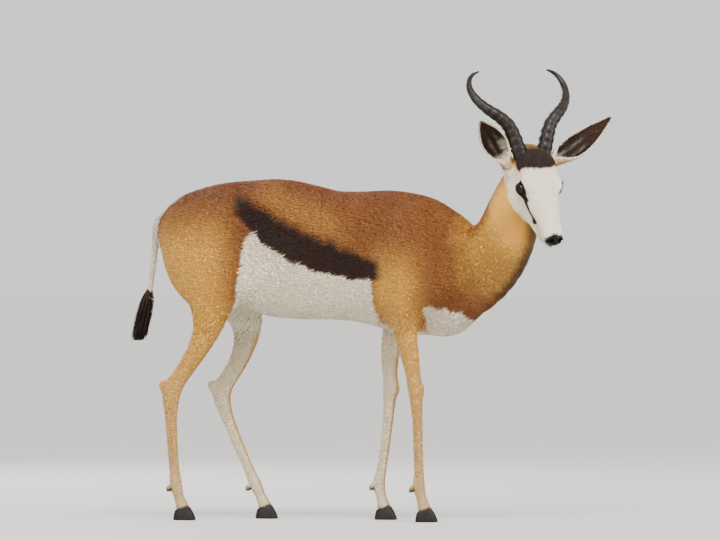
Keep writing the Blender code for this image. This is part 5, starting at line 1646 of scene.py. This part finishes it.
class Eye:
    """One eyeball, dark brown, with a wide level pupil, and the rim of its lids."""

    RINGS = 40
    AROUND = 64
    RADIUS = 0.0170
    IRIS = 0.0112
    PUPIL = (0.0074, 0.0040)
    RIM = (0.0133, 0.0101)
    RIM_OUT = 0.0178
    RIM_THICK = 0.0009
    RIM_POINT = 0.30

    def __init__(self, side: str) -> None:
        """Finds the eye's place and directions."""
        self.side = side
        self.centre = eye_centre(SIDES[side])
        self.along, self.gaze, self.rise = eye_frame(SIDES[side])

    def ball(self, material: bpy.types.Material) -> bpy.types.Object:
        """The eyeball, with the iris and pupil as point colours."""
        polar = np.linspace(0.002, math.pi - 0.002, self.RINGS)
        turn = 2 * math.pi * np.arange(self.AROUND) / self.AROUND
        sin, cos = np.sin(polar)[:, None], np.cos(polar)[:, None]
        flat = (sin * np.cos(turn), cos + 0 * turn, sin * np.sin(turn))
        frame = np.array([self.along, self.gaze, self.rise])
        local = self.RADIUS * np.stack(flat, axis=-1)
        rings = self.centre + local @ frame
        obj = add_mesh(f"eye_{self.side}_ball", rings.reshape(-1, 3), rings_mesh(rings), material)
        a, g, c = local.reshape(-1, 3).T
        away = np.hypot(a, c)
        streak = 0.5 + 0.5 * np.sin(23.0 * np.arctan2(c, a) + 2.0)
        iris = mix(paint(46, 25, 13)[None], paint(24, 13, 8)[None], 0.6 * streak)
        colour = mix(iris, paint(12, 8, 6)[None], ramp(away, self.IRIS - 0.0022, self.IRIS))
        pupil = np.sqrt((a / self.PUPIL[0]) ** 2 + (c / self.PUPIL[1]) ** 2)
        colour = mix(colour, paint(4, 4, 6)[None], ramp(-pupil, -1.15, -0.95))
        colour[g < 0] = paint(12, 8, 6)
        add_value(obj, "coat_colour", colour)
        return obj

    def lid(self, turn: Array) -> tuple[Array, Array]:
        """Places along and across the eye of an almond line, pointed at the front corner."""
        point = 1.0 + self.RIM_POINT * np.maximum(np.cos(turn), 0.0) ** 6
        shut = 1.0 - 0.22 * np.abs(np.cos(turn)) ** 3
        return self.RIM[0] * point * np.cos(turn), self.RIM[1] * shut * np.sin(turn)

    def rim(self, material: bpy.types.Material) -> bpy.types.Object:
        """The moist dark edge of the lids, a ring that lies on the eyeball."""
        turn = 2 * math.pi * np.arange(60) / 60
        a, c = self.lid(turn)
        g = np.sqrt(self.RIM_OUT**2 - a**2 - c**2)
        middle = self.centre + np.stack([a, g, c], axis=1) @ np.array([self.along, self.gaze, self.rise])
        ahead = units(np.roll(middle, -1, axis=0) - np.roll(middle, 1, axis=0))
        out = units(middle - self.centre)
        side = np.cross(ahead, out)
        around = 2 * math.pi * np.arange(8) / 8
        thick = self.RIM_THICK * np.stack([np.cos(around), np.sin(around)], axis=1)
        rings = middle[:, None] + thick[None, :, :1] * out[:, None] + thick[None, :, 1:] * side[:, None]
        count = len(rings)
        i, j = np.meshgrid(np.arange(count), np.arange(8), indexing="ij")
        nexts = ((i + 1) % count) * 8
        quads = np.stack([i * 8 + j, i * 8 + (j + 1) % 8, nexts + (j + 1) % 8, nexts + j], axis=-1)
        points = rings.reshape(-1, 3)
        return add_mesh(f"eye_{self.side}_rim", points, outward(points - self.centre, triangles(quads.reshape(-1, 4))), material)

    def lash_roots(self) -> tuple[Array, Array]:
        """Places and directions of the lashes along the upper lid."""
        turn = np.radians(np.linspace(18.0, 162.0, 54))
        upper = 1.0 if self.rise @ Pose.DORSAL > 0 else -1.0
        a, c = self.lid(turn)
        c = 1.06 * upper * c
        g = np.sqrt((self.RIM_OUT + 0.0006) ** 2 - a**2 - c**2)
        frame = np.array([self.along, self.gaze, self.rise])
        roots = self.centre + np.stack([a, g, c], axis=1) @ frame
        lie = np.stack([0.30 * np.cos(turn), 0.80 + 0 * turn, upper * (0.05 + 0.30 * np.sin(turn))], axis=1)
        return roots, units(lie @ frame - 0.25 * Pose.DORSAL)


class NodeTree:
    """A geometry node tree being built, with named inputs and one chain to its output."""

    def __init__(self, name: str) -> None:
        """Starts an empty tree that takes and gives geometry."""
        self.tree = bpy.data.node_groups.new(name, "GeometryNodeTree")
        self.tree.interface.new_socket("Geometry", in_out="INPUT", socket_type="NodeSocketGeometry")
        self.tree.interface.new_socket("Geometry", in_out="OUTPUT", socket_type="NodeSocketGeometry")
        self.entry = self.tree.nodes.new("NodeGroupInput")
        self.exit = self.tree.nodes.new("NodeGroupOutput")

    def ask(self, name: str, kind: str) -> bpy.types.NodeSocket:
        """Adds a named input and gives its socket inside the tree."""
        self.tree.interface.new_socket(name, in_out="INPUT", socket_type=kind)
        return self.entry.outputs[name]

    def node(self, kind: str, **inputs: object) -> bpy.types.Node:
        """Adds a node; inputs are sockets to link or values to set, by socket name."""
        node = self.tree.nodes.new(kind)
        for name, value in inputs.items():
            self.feed(node, name.replace("_", " "), value)
        return node

    def feed(self, node: bpy.types.Node, name: str | int, value: object) -> None:
        """Links or sets one input of a node."""
        socket = node.inputs[name]
        if isinstance(value, bpy.types.NodeSocket):
            self.tree.links.new(value, socket)
        else:
            socket.default_value = value

    def math(self, operation: str, *values: object) -> bpy.types.NodeSocket:
        """Adds a sum on sockets or numbers and gives its result."""
        node = self.tree.nodes.new("ShaderNodeMath")
        node.operation = operation
        for number, value in enumerate(values):
            self.feed(node, number, value)
        return node.outputs[0]

    def finish(self, geometry: bpy.types.NodeSocket, material: bpy.types.NodeSocket) -> None:
        """Ends the tree: smooth shading, real copies and the material."""
        smooth = self.node("GeometryNodeSetShadeSmooth", Geometry=geometry)
        real = self.node("GeometryNodeRealizeInstances", Geometry=smooth.outputs[0])
        painted = self.node("GeometryNodeSetMaterial", Geometry=real.outputs[0], Material=material)
        self.tree.links.new(painted.outputs[0], self.exit.inputs[0])


def bake_nodes(name: str, source: bpy.types.Object, tree: NodeTree, values: dict[str, object]) -> bpy.types.Object:
    """The mesh that a node tree makes from a source object, which is then removed.

    Args:
        name: Name of the new object.
        source: Object that the tree works on.
        tree: The node tree.
        values: Values of the tree's inputs by name.

    Returns:
        A plain mesh object.
    """
    modifier = source.modifiers.new(name, "NODES")
    modifier.node_group = tree.tree
    for item in tree.tree.interface.items_tree:
        if item.in_out == "INPUT" and item.name in values:
            modifier[item.identifier] = values[item.name]
    bpy.context.view_layer.update()
    graph = bpy.context.evaluated_depsgraph_get()
    mesh = bpy.data.meshes.new_from_object(source.evaluated_get(graph), depsgraph=graph)
    mesh.name = name
    obj = bpy.data.objects.new(name, mesh)
    bpy.context.scene.collection.objects.link(obj)
    source.modifiers.clear()
    bpy.data.objects.remove(source)
    return obj


class Horn:
    """One ringed horn, swept along its lyre curve by geometry nodes."""

    STEPS = 260
    AROUND = 40
    RIDGE = 0.11

    def __init__(self, side: str) -> None:
        """Finds the curve of the horn."""
        self.side = side
        dense = catmull(HORN, 8)
        sign = SIDES[side]
        self.path = Pose.EYES + dense[:, :1] * sign * Pose.LEFT + dense[:, 1:2] * Pose.HEADING + dense[:, 2:3] * Pose.RISE
        self.radius = dense[:, 3]

    def guide(self) -> bpy.types.Object:
        """The curve, with the horn's plain radius at each point."""
        curve = bpy.data.curves.new(f"horn_{self.side}_guide", "CURVE")
        curve.dimensions = "3D"
        spline = curve.splines.new("POLY")
        spline.points.add(len(self.path) - 1)
        spline.points.foreach_set("co", np.column_stack([self.path, np.ones(len(self.path))]).ravel())
        spline.points.foreach_set("radius", self.radius)
        obj = bpy.data.objects.new(curve.name, curve)
        bpy.context.scene.collection.objects.link(obj)
        return obj

    @staticmethod
    def tree() -> NodeTree:
        """Sweeps a circle along the curve and raises rings over the lower part."""
        tree = NodeTree("ringed_horn")
        steps = tree.ask("Steps", "NodeSocketInt")
        around = tree.ask("Around", "NodeSocketInt")
        start = tree.ask("Rings start", "NodeSocketFloat")
        end = tree.ask("Rings end", "NodeSocketFloat")
        count = tree.ask("Ring count", "NodeSocketFloat")
        height = tree.ask("Ring height", "NodeSocketFloat")
        material = tree.ask("Material", "NodeSocketMaterial")
        line = tree.node("GeometryNodeResampleCurve", Curve=tree.entry.outputs[0], Count=steps)
        along = tree.node("GeometryNodeSplineParameter").outputs["Factor"]
        phase = tree.math("DIVIDE", tree.math("SUBTRACT", along, start), tree.math("SUBTRACT", end, start))
        wave = tree.math("COSINE", tree.math("MULTIPLY", phase, tree.math("MULTIPLY", count, 2 * math.pi)))
        swell = tree.math("POWER", tree.math("MULTIPLY", tree.math("SUBTRACT", 1.0, wave), 0.5), 0.75)
        inside = tree.math("MULTIPLY", tree.math("GREATER_THAN", phase, 0.0), tree.math("LESS_THAN", phase, 1.0))
        fade = tree.math("SUBTRACT", 1.0, tree.math("MULTIPLY", phase, 0.5))
        rise = tree.math("MULTIPLY", tree.math("MULTIPLY", swell, inside), tree.math("MULTIPLY", fade, height))
        grain = tree.math("MULTIPLY", tree.math("SINE", tree.math("MULTIPLY", along, 520.0)), 0.006)
        plain = tree.node("GeometryNodeInputRadius").outputs[0]
        radius = tree.math("MULTIPLY", plain, tree.math("ADD", 1.0, tree.math("ADD", rise, grain)))
        circle = tree.node("GeometryNodeCurvePrimitiveCircle", Resolution=around, Radius=1.0)
        swept = tree.node(
            "GeometryNodeCurveToMesh",
            Curve=line.outputs[0],
            Profile_Curve=circle.outputs[0],
            Scale=radius,
            Fill_Caps=True,
        )
        tree.finish(swept.outputs[0], material)
        return tree

    def build(self, tree: NodeTree, material: bpy.types.Material) -> bpy.types.Object:
        """The horn as a mesh."""
        values = {
            "Steps": self.STEPS,
            "Around": self.AROUND,
            "Rings start": RINGS_START,
            "Rings end": RINGS_END,
            "Ring count": float(RING_COUNT),
            "Ring height": self.RIDGE,
            "Material": material,
        }
        return bake_nodes(f"horn_{self.side}_rings", self.guide(), tree, values)


class Strands:
    """Single stiff hairs grown from points by geometry nodes: lashes, whiskers and bristles."""

    @staticmethod
    def tree() -> NodeTree:
        """Bends a tapered hair out of each point, along the point's own direction."""
        tree = NodeTree("stiff_hairs")
        bend = tree.ask("Bend", "NodeSocketFloat")
        thick = tree.ask("Thickness", "NodeSocketFloat")
        least = tree.ask("Shortest", "NodeSocketFloat")
        seed = tree.ask("Seed", "NodeSocketInt")
        material = tree.ask("Material", "NodeSocketMaterial")
        middle = tree.node("ShaderNodeCombineXYZ", X=bend, Z=0.5)
        end = tree.node("ShaderNodeCombineXYZ", X=tree.math("MULTIPLY", bend, -1.5), Z=1.0)
        hair = tree.node("GeometryNodeCurveQuadraticBezier", Resolution=6, Start=(0.0, 0.0, 0.0), Middle=middle.outputs[0], End=end.outputs[0])
        lie = tree.node("GeometryNodeInputNamedAttribute")
        lie.data_type = "FLOAT_VECTOR"
        lie.inputs["Name"].default_value = "lie"
        size = tree.node("GeometryNodeInputNamedAttribute")
        size.data_type = "FLOAT"
        size.inputs["Name"].default_value = "size"
        turned = tree.node("FunctionNodeAlignRotationToVector", Vector=lie.outputs["Attribute"])
        turned.axis = "Z"
        vary = tree.node("FunctionNodeRandomValue")
        vary.data_type = "FLOAT"
        vary_in = {socket.identifier: socket for socket in vary.inputs}
        tree.tree.links.new(least, vary_in["Min_001"])
        vary_in["Max_001"].default_value = 1.0
        tree.tree.links.new(seed, vary_in["Seed"])
        vary_out = {socket.identifier: socket for socket in vary.outputs}
        scale = tree.math("MULTIPLY", size.outputs["Attribute"], vary_out["Value_001"])
        placed = tree.node("GeometryNodeInstanceOnPoints", Points=tree.entry.outputs[0], Instance=hair.outputs[0], Rotation=turned.outputs[0], Scale=scale)
        real = tree.node("GeometryNodeRealizeInstances", Geometry=placed.outputs[0])
        along = tree.node("GeometryNodeSplineParameter").outputs["Factor"]
        radius = tree.math("MULTIPLY", thick, tree.math("SUBTRACT", 1.02, along))
        circle = tree.node("GeometryNodeCurvePrimitiveCircle", Resolution=4, Radius=1.0)
        swept = tree.node(
            "GeometryNodeCurveToMesh",
            Curve=real.outputs[0],
            Profile_Curve=circle.outputs[0],
            Scale=radius,
            Fill_Caps=True,
        )
        tree.finish(swept.outputs[0], material)
        return tree

    @staticmethod
    def build(name: str, tree: NodeTree, roots: Array, lie: Array, size: Array, values: dict[str, object]) -> bpy.types.Object:
        """Hairs as a mesh.

        Args:
            name: Name of the piece.
            tree: The node tree that grows them.
            roots: Where they start.
            lie: Which way each points.
            size: Length of each.
            values: The tree's inputs by name.

        Returns:
            The new object.
        """
        mesh = bpy.data.meshes.new(f"{name}_roots")
        mesh.from_pydata(roots.tolist(), [], [])
        mesh.attributes.new("lie", "FLOAT_VECTOR", "POINT").data.foreach_set("vector", lie.astype(np.float32).ravel())
        mesh.attributes.new("size", "FLOAT", "POINT").data.foreach_set("value", size.astype(np.float32))
        obj = bpy.data.objects.new(mesh.name, mesh)
        bpy.context.scene.collection.objects.link(obj)
        return bake_nodes(name, obj, tree, values)


class Hoof:
    """The two claws of one foot, with fine growth lines."""

    LEVELS = 16
    TOP = 0.0312
    GROOVE = 0.004

    def __init__(self, leg: str) -> None:
        """Finds where the foot stands."""
        self.leg = leg
        self.x = LEG_ROWS[leg][-1][0]
        self.y = HOOF_Y[leg]

    def claw(self, sign: float) -> Array:
        """Rings of one claw from the floor to the coronet."""
        away = sign * math.copysign(1.0, self.x)
        loop = np.array(HOOF_OUTLINE)
        closed = np.vstack([loop[-1:], loop, loop[:2]])
        smooth = catmull(closed, 4)[4:-4]
        lip = (self.TOP, 0.88 * HOOF_TOP[0], 0.86 * HOOF_TOP[1], HOOF_TOP[2] + 0.0010)
        rows = np.array([*HOOF_LEVELS, (CORONET, *HOOF_TOP), lip])
        rings = []
        for z in np.linspace(0.0, self.TOP, self.LEVELS * 2):
            wide, long, back = (np.interp(z, rows[:, 0], rows[:, n]) for n in (1, 2, 3))
            line = 1.0 - self.GROOVE * (1 + math.sin(z * 2 * math.pi / 0.0042)) - 0.03 * max(0.0, 1 - z / 0.0012)
            x = self.x + away * (HOOF_CLEFT + wide * line * smooth[:, 0])
            y = self.y + back + long * line * smooth[:, 1]
            height = z * (1.0 - CORONET_SLOPE * (y - self.y) / CORONET)
            rings.append(np.stack([x, y, height], axis=1))
        return np.array(rings)

    def build(self, material: bpy.types.Material) -> bpy.types.Object:
        """Both claws as one object."""
        points, faces, start = [], [], 0
        for sign in SIDES.values():
            rings = self.claw(sign)
            points.append(rings.reshape(-1, 3))
            faces.append(rings_mesh(rings) + start)
            start += len(points[-1])
        return add_mesh(f"hooves_{self.leg}", np.vstack(points), np.vstack(faces), material)


class TailTuft:
    """Long dark hair at the end of the tail, in curved tapered strands."""

    COUNT = 2300
    STATIONS = (0.0, 0.25, 0.50, 0.75, 1.0)
    TOP = np.array([0.0, 0.4240, 0.566])
    FOOT = np.array([0.0, 0.4400, 0.492])
    TIP = np.array([0.0, 0.4590, 0.430])

    def __init__(self, paints: CoatPaints) -> None:
        """Keeps the tuft's colours."""
        self.paints = paints
        self.rng = np.random.default_rng(71)

    def strands(self) -> tuple[Array, Array]:
        """Points of every strand, and how dark each is."""
        count = self.COUNT
        t = self.rng.random(count)
        turn = 2 * math.pi * self.rng.random(count)
        out = np.stack([np.cos(turn), np.sin(turn), 0 * turn], axis=1)
        roots = self.TOP + t[:, None] * (self.FOOT - self.TOP) + 0.0046 * out
        axis = unit(self.TIP - self.TOP)
        clump = np.round(turn / (2 * math.pi / 11)) * (2 * math.pi / 11)
        gather = np.stack([np.cos(clump), np.sin(clump), 0 * clump], axis=1)
        long = np.clip(0.098 * self.rng.uniform(0.62, 0.98, count), 0.03, None)
        reach = np.minimum(long, (roots[:, 2] - 0.4365) / abs(axis[2]))
        stray = 0.009 * (self.rng.random((count, 1)) < 0.12)
        tips = roots + axis * reach[:, None] + gather * (self.rng.uniform(0.0, 0.009, (count, 1)) + stray)
        across = units(np.cross(tips - roots, out))
        rows = []
        for share in self.STATIONS[:-1]:
            bow = 0.0062 * math.sin(math.pi * share**0.8)
            at = roots + (tips - roots) * share + out * bow
            wide = 0.0011 * (1.0 - 0.65 * share)
            rows.append(np.stack([at - across * wide, at + out * 0.6 * wide, at + across * wide], axis=1))
        body = np.concatenate(rows, axis=1)
        return np.concatenate([body, tips[:, None]], axis=1), t

    def build(self, material: bpy.types.Material) -> bpy.types.Object:
        """The tuft as one object."""
        solid, share = self.strands()
        size = solid.shape[1]
        faces = [(0, 2, 1)]
        for ring in range(len(self.STATIONS) - 2):
            low = 3 * ring
            for side in range(3):
                nxt = (side + 1) % 3
                faces += [(low + side, low + nxt, low + 3 + nxt), (low + side, low + 3 + nxt, low + 3 + side)]
        last = size - 4
        faces += [(last + side, last + (side + 1) % 3, size - 1) for side in range(3)]
        faces = np.array(faces)
        points = solid.reshape(-1, 3)
        every = (faces[None] + size * np.arange(len(solid))[:, None, None]).reshape(-1, 3)
        obj = add_mesh("tail_tuft_hair", points, outward(points, every), material)
        tone = mix(self.paints.crown[None], self.paints.tuft[None], ramp(share, 0.0, 0.25))
        tone = tone[:, None] * np.clip(1.0 + 0.16 * self.rng.standard_normal((len(solid), 1, 1)), 0.6, 1.5)
        add_value(obj, "coat_colour", np.repeat(tone, size, axis=1).reshape(-1, 3))
        return obj


@dataclass(frozen=True)
class Finish:
    """A surface finish: the colour comes from the points, or is one plain paint."""

    name: str
    rough: float
    paint: tuple[float, float, float] | None = None
    shine: float = 0.5
    gloss_coat: float = 0.0
    sheen: float = 0.0
    grain: float = 0.0
    grain_size: float = 900.0
    mottle: float = 40.0
    moist_rough: float | None = None

    def material(self) -> bpy.types.Material:
        """The finish as a material."""
        material = bpy.data.materials.new(self.name)
        material.use_nodes = True
        nodes, links = material.node_tree.nodes, material.node_tree.links
        shader = nodes["Principled BSDF"]
        shader.inputs["Roughness"].default_value = self.rough
        shader.inputs["Specular IOR Level"].default_value = self.shine
        shader.inputs["Coat Weight"].default_value = self.gloss_coat
        shader.inputs["Coat Roughness"].default_value = 0.03
        shader.inputs["Sheen Weight"].default_value = self.sheen
        shader.inputs["Sheen Roughness"].default_value = 0.5
        if self.paint is None:
            colour = nodes.new("ShaderNodeAttribute")
            colour.attribute_name = "coat_colour"
            links.new(colour.outputs["Color"], shader.inputs["Base Color"])
        else:
            links.new(self.tone(nodes, links), shader.inputs["Base Color"])
        if self.moist_rough is not None:
            wet = nodes.new("ShaderNodeAttribute")
            wet.attribute_name = "moist"
            spread = nodes.new("ShaderNodeMapRange")
            spread.inputs["To Min"].default_value = self.rough
            spread.inputs["To Max"].default_value = self.moist_rough
            links.new(wet.outputs["Fac"], spread.inputs["Value"])
            links.new(spread.outputs["Result"], shader.inputs["Roughness"])
        if self.grain:
            noise = nodes.new("ShaderNodeTexNoise")
            noise.inputs["Scale"].default_value = self.grain_size
            noise.inputs["Detail"].default_value = 3.0
            place = nodes.new("ShaderNodeTexCoord")
            links.new(place.outputs["Object"], noise.inputs["Vector"])
            bump = nodes.new("ShaderNodeBump")
            bump.inputs["Strength"].default_value = self.grain
            bump.inputs["Distance"].default_value = 0.0006
            links.new(noise.outputs["Fac"], bump.inputs["Height"])
            links.new(bump.outputs["Normal"], shader.inputs["Normal"])
        return material

    def tone(self, nodes: bpy.types.Nodes, links: bpy.types.NodeLinks) -> bpy.types.NodeSocket:
        """The paint with soft darker and paler clouds in it."""
        place = nodes.new("ShaderNodeTexCoord")
        clouds = nodes.new("ShaderNodeTexNoise")
        clouds.inputs["Scale"].default_value = self.mottle
        clouds.inputs["Detail"].default_value = 5.0
        links.new(place.outputs["Object"], clouds.inputs["Vector"])
        spread = nodes.new("ShaderNodeValToRGB")
        links.new(clouds.outputs["Fac"], spread.inputs["Fac"])
        plain = paint(*self.paint)
        for stop, where, share in zip(spread.color_ramp.elements, (0.35, 0.68), (0.60, 1.75)):
            stop.position = where
            stop.color = (*(plain * share), 1.0)
        return spread.outputs["Color"]


SKIN = Finish("springbok_skin", 0.78, shine=0.25, sheen=0.04, grain=0.5, moist_rough=0.30)
HAIR = Finish("springbok_hair", 0.62, shine=0.30, sheen=0.06)
LONG_HAIR = Finish("springbok_long_hair", 0.50, shine=0.40)
HORN_FINISH = Finish("springbok_horn", 0.38, paint=(35, 28, 23), shine=0.42, grain=0.5, grain_size=700.0, mottle=60.0)
HOOF_FINISH = Finish("springbok_hoof", 0.46, paint=(30, 26, 24), shine=0.40, grain=0.35, grain_size=500.0, mottle=70.0)
EYE_FINISH = Finish("springbok_eye", 0.08, shine=0.30, gloss_coat=0.35)
RIM_FINISH = Finish("springbok_lid", 0.42, paint=(18, 13, 11), shine=0.35)
LASH_FINISH = Finish("springbok_lash", 0.45, paint=(22, 15, 12))
WHISKER_FINISH = Finish("springbok_whisker", 0.45, paint=(70, 56, 46))


@dataclass(frozen=True)
class Lamp:
    """A soft square light that faces the animal."""

    name: str
    place: tuple[float, float, float]
    size: float
    power: float
    tint: tuple[float, float, float] = (1.0, 1.0, 1.0)

    def light(self, target: Array) -> None:
        """Adds the light to the scene."""
        data = bpy.data.lights.new(self.name, "AREA")
        data.size = self.size
        data.energy = self.power
        data.color = self.tint
        obj = bpy.data.objects.new(self.name, data)
        bpy.context.scene.collection.objects.link(obj)
        obj.location = self.place
        obj.rotation_euler = (Vector(target) - obj.location).to_track_quat("-Z", "Y").to_euler()


class Studio:
    """Pale floor, soft lights and the camera that repeats the photograph's view."""

    AIM = 0.103
    AIM_HEIGHT = 0.610
    EYE_LEVEL = 0.72
    AZIMUTH = math.radians(14.0)
    DISTANCE = 20.0
    LENS = 410.0
    SENSOR = 36.0
    FLOOR = 60.0
    FLOOR_PAINT = (0.545, 0.541, 0.533)
    AIR = (0.83, 0.83, 0.825)
    AIR_STRENGTH = 0.665
    SUN_FROM = (-0.62, -0.25, 0.85)
    SUN_POWER = 1.76
    SUN_SOFTNESS = math.radians(32.0)
    SUN_TINT = (1.0, 0.975, 0.94)
    LAMPS = (
        Lamp("side", (-4.0, 1.6, 2.2), 2.4, 64.0, (1.0, 0.97, 0.93)),
        Lamp("back", (3.0, 2.6, 2.6), 2.4, 60.0, (0.97, 0.98, 1.0)),
        Lamp("front", (-0.6, -4.2, 1.8), 2.4, 52.0),
    )

    def __init__(self, shift: Array) -> None:
        """Keeps the offset from the animal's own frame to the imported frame."""
        self.shift = shift

    def build(self) -> None:
        """Adds the floor, lights, air and camera."""
        self.floor()
        for lamp in self.LAMPS:
            lamp.light(np.array([0.0, 0.0, 0.55]))
        self.sun()
        self.air()
        self.camera()
        view = bpy.context.scene.view_settings
        view.view_transform = "AgX"
        view.look = "AgX - Medium High Contrast"
        view.exposure = 0.56

    def sun(self) -> None:
        """A wide soft light from above that lights the whole floor evenly."""
        data = bpy.data.lights.new("key", "SUN")
        data.energy = self.SUN_POWER
        data.angle = self.SUN_SOFTNESS
        data.color = self.SUN_TINT
        obj = bpy.data.objects.new("key", data)
        bpy.context.scene.collection.objects.link(obj)
        obj.rotation_euler = Vector(self.SUN_FROM).to_track_quat("Z", "Y").to_euler()

    def floor(self) -> None:
        """A wide round floor at height zero."""
        turn = 2 * math.pi * np.arange(96) / 96
        ring = np.stack([self.FLOOR * np.cos(turn), self.FLOOR * np.sin(turn), 0 * turn], axis=1)
        points = np.vstack([np.zeros((1, 3)), ring])
        i = np.arange(96)
        faces = np.stack([0 * i, i + 1, (i + 1) % 96 + 1], axis=1)
        finish = bpy.data.materials.new("studio_floor")
        finish.use_nodes = True
        shader = finish.node_tree.nodes["Principled BSDF"]
        shader.inputs["Base Color"].default_value = (*self.FLOOR_PAINT, 1.0)
        shader.inputs["Roughness"].default_value = 0.9
        shader.inputs["Specular IOR Level"].default_value = 0.1
        add_mesh("floor", points, faces, finish)

    def air(self) -> None:
        """Even pale light from all round."""
        world = bpy.data.worlds.new("studio_air")
        world.use_nodes = True
        back = world.node_tree.nodes["Background"]
        back.inputs["Color"].default_value = (*self.AIR, 1.0)
        back.inputs["Strength"].default_value = self.AIR_STRENGTH
        bpy.context.scene.world = world

    def camera(self) -> None:
        """A long lens at the photograph's viewing angle."""
        toward = np.array([math.cos(self.AZIMUTH), math.sin(self.AZIMUTH), 0.0])
        right = np.array([math.sin(self.AZIMUTH), -math.cos(self.AZIMUTH), 0.0])
        aim = self.AIM * right + self.AIM_HEIGHT * UP + self.shift
        place = aim - self.DISTANCE * toward
        place[2] = self.EYE_LEVEL
        data = bpy.data.cameras.new("photo_view")
        data.sensor_width = self.SENSOR
        data.lens = self.LENS
        data.clip_end = 200.0
        obj = bpy.data.objects.new("photo_view", data)
        bpy.context.scene.collection.objects.link(obj)
        obj.location = place
        obj.rotation_euler = (Vector(aim) - obj.location).to_track_quat("-Z", "Y").to_euler()
        bpy.context.scene.camera = obj


class Springbok:
    """The whole animal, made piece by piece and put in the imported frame."""

    LEG_PARTS = ("upper", "cannon", "pastern")
    # Painted shade: the skin's colour is darkened, for the skin seen between the tufts.
    SKIN_PAINTED_SHADE = 0.84

    def __init__(self) -> None:
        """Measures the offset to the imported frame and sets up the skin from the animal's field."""
        low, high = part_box("eye_right")
        self.shift = np.array((low + high) / 2) - eye_centre(SIDES["right"])
        self.paints = CoatPaints()
        anatomy = Anatomy()
        self.markings = Markings(self.paints, Flesh(*anatomy.head()))
        self.skin = Skin(anatomy.flesh())

    def place(self, obj: bpy.types.Object, slot: str, *nodes: str) -> None:
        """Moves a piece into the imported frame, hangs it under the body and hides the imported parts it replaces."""
        obj.data.transform(Matrix.Translation(Vector(self.shift)))
        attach(obj, BODY)
        if nodes:
            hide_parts(*nodes)

    def build(self) -> None:
        """Builds every piece."""
        self.hide()
        self.head_parts()
        self.horns()
        self.feet_and_tail()

    def hide(self) -> None:
        """The skin and its coat."""
        self.skin.grow()
        LOG.info("skin has %d points", len(self.skin.points))
        normals = point_normals(self.skin.points, self.skin.quads)
        skin = add_mesh("skin", self.skin.points, self.skin.quads, SKIN.material())
        # The skin takes the coat's colour darkened by painted shade.
        add_value(skin, "coat_colour", self.SKIN_PAINTED_SHADE * self.markings.colour(self.skin.points, normals))
        add_value(skin, "moist", self.markings.wetness(self.skin.points))
        legs = [f"{leg}_{part}" for leg in LEG_ROWS for part in self.LEG_PARTS]
        self.place(skin, "tan_coat", "torso", "neck", "head", "tail", *legs)
        for piece in Coat(self.skin, normals, self.markings).build(HAIR.material()):
            LOG.info("%s has %d triangles", piece.name, len(piece.data.polygons))
            self.place(piece, "leg_coat" if piece.name.endswith("legs") else "tan_coat")

    def head_parts(self) -> None:
        """Ears, eyes, lids, lashes, brow bristles and whiskers."""
        ears = [Ear(side, self.paints) for side in SIDES]
        lining = SKIN.material()
        for ear in ears:
            self.place(ear.build(lining), "ear_coat", f"ear_{ear.side}")
        for piece in EarCoat(ears).build(HAIR.material()):
            self.place(piece, "ear_coat")
        ball, rim = EYE_FINISH.material(), RIM_FINISH.material()
        strands = Strands.tree()
        lash = LASH_FINISH.material()
        for side in SIDES:
            eye = Eye(side)
            self.place(eye.ball(ball), "eye", f"eye_{side}")
            self.place(eye.rim(rim), "eye")
            roots, lie = eye.lash_roots()
            values = {"Bend": 0.22, "Thickness": 0.00022, "Shortest": 0.65, "Seed": 5, "Material": lash}
            size = np.full(len(roots), 0.0085)
            self.place(Strands.build(f"lashes_{side}", strands, roots, lie, size, values), "eye")
        self.whiskers(strands)

    def whiskers(self, strands: NodeTree) -> None:
        """Sparse stiff hairs on the lips, the chin and above the eyes."""
        rng = np.random.default_rng(9)
        roots, lies, sizes = [], [], []
        for sign in SIDES.values():
            for _ in range(26):
                f, u = rng.uniform(0.100, 0.140), rng.uniform(-0.046, -0.014)
                roots.append(Pose.at(f, sign * 0.030, u))
                lies.append(unit(sign * Pose.LEFT + 0.45 * Pose.FORWARD - 0.35 * Pose.DORSAL + rng.normal(0, 0.2, 3)))
                sizes.append(0.016)
            for _ in range(7):
                f, u = rng.uniform(-0.012, 0.016), rng.uniform(0.016, 0.024)
                roots.append(Pose.at(f, sign * 0.042, u))
                lies.append(unit(0.8 * sign * Pose.LEFT + 0.3 * Pose.FORWARD + 0.6 * Pose.DORSAL + rng.normal(0, 0.15, 3)))
                sizes.append(0.018)
        settled = self.skin.settle(np.array(roots), 8, 0.006)
        values = {"Bend": 0.12, "Thickness": 0.00016, "Shortest": 0.5, "Seed": 12, "Material": WHISKER_FINISH.material()}
        piece = Strands.build("whiskers", strands, settled, np.array(lies), np.array(sizes), values)
        self.place(piece, "tan_coat")

    def horns(self) -> None:
        """Both horns."""
        tree = Horn.tree()
        material = HORN_FINISH.material()
        for side in SIDES:
            self.place(Horn(side).build(tree, material), "horn", f"horn_{side}")

    def feet_and_tail(self) -> None:
        """Hooves and the tail's dark tuft."""
        material = HOOF_FINISH.material()
        for leg in LEG_ROWS:
            self.place(Hoof(leg).build(material), "hoof", f"{leg}_hoof_inner", f"{leg}_hoof_outer")
        self.place(TailTuft(self.paints).build(LONG_HAIR.material()), "dark_tuft", "tail_tuft")


def main() -> None:
    logging.basicConfig(level=logging.INFO, format="%(message)s")
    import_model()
    animal = Springbok()
    animal.build()
    Studio(animal.shift).build()


if __name__ == "__main__":
    main()
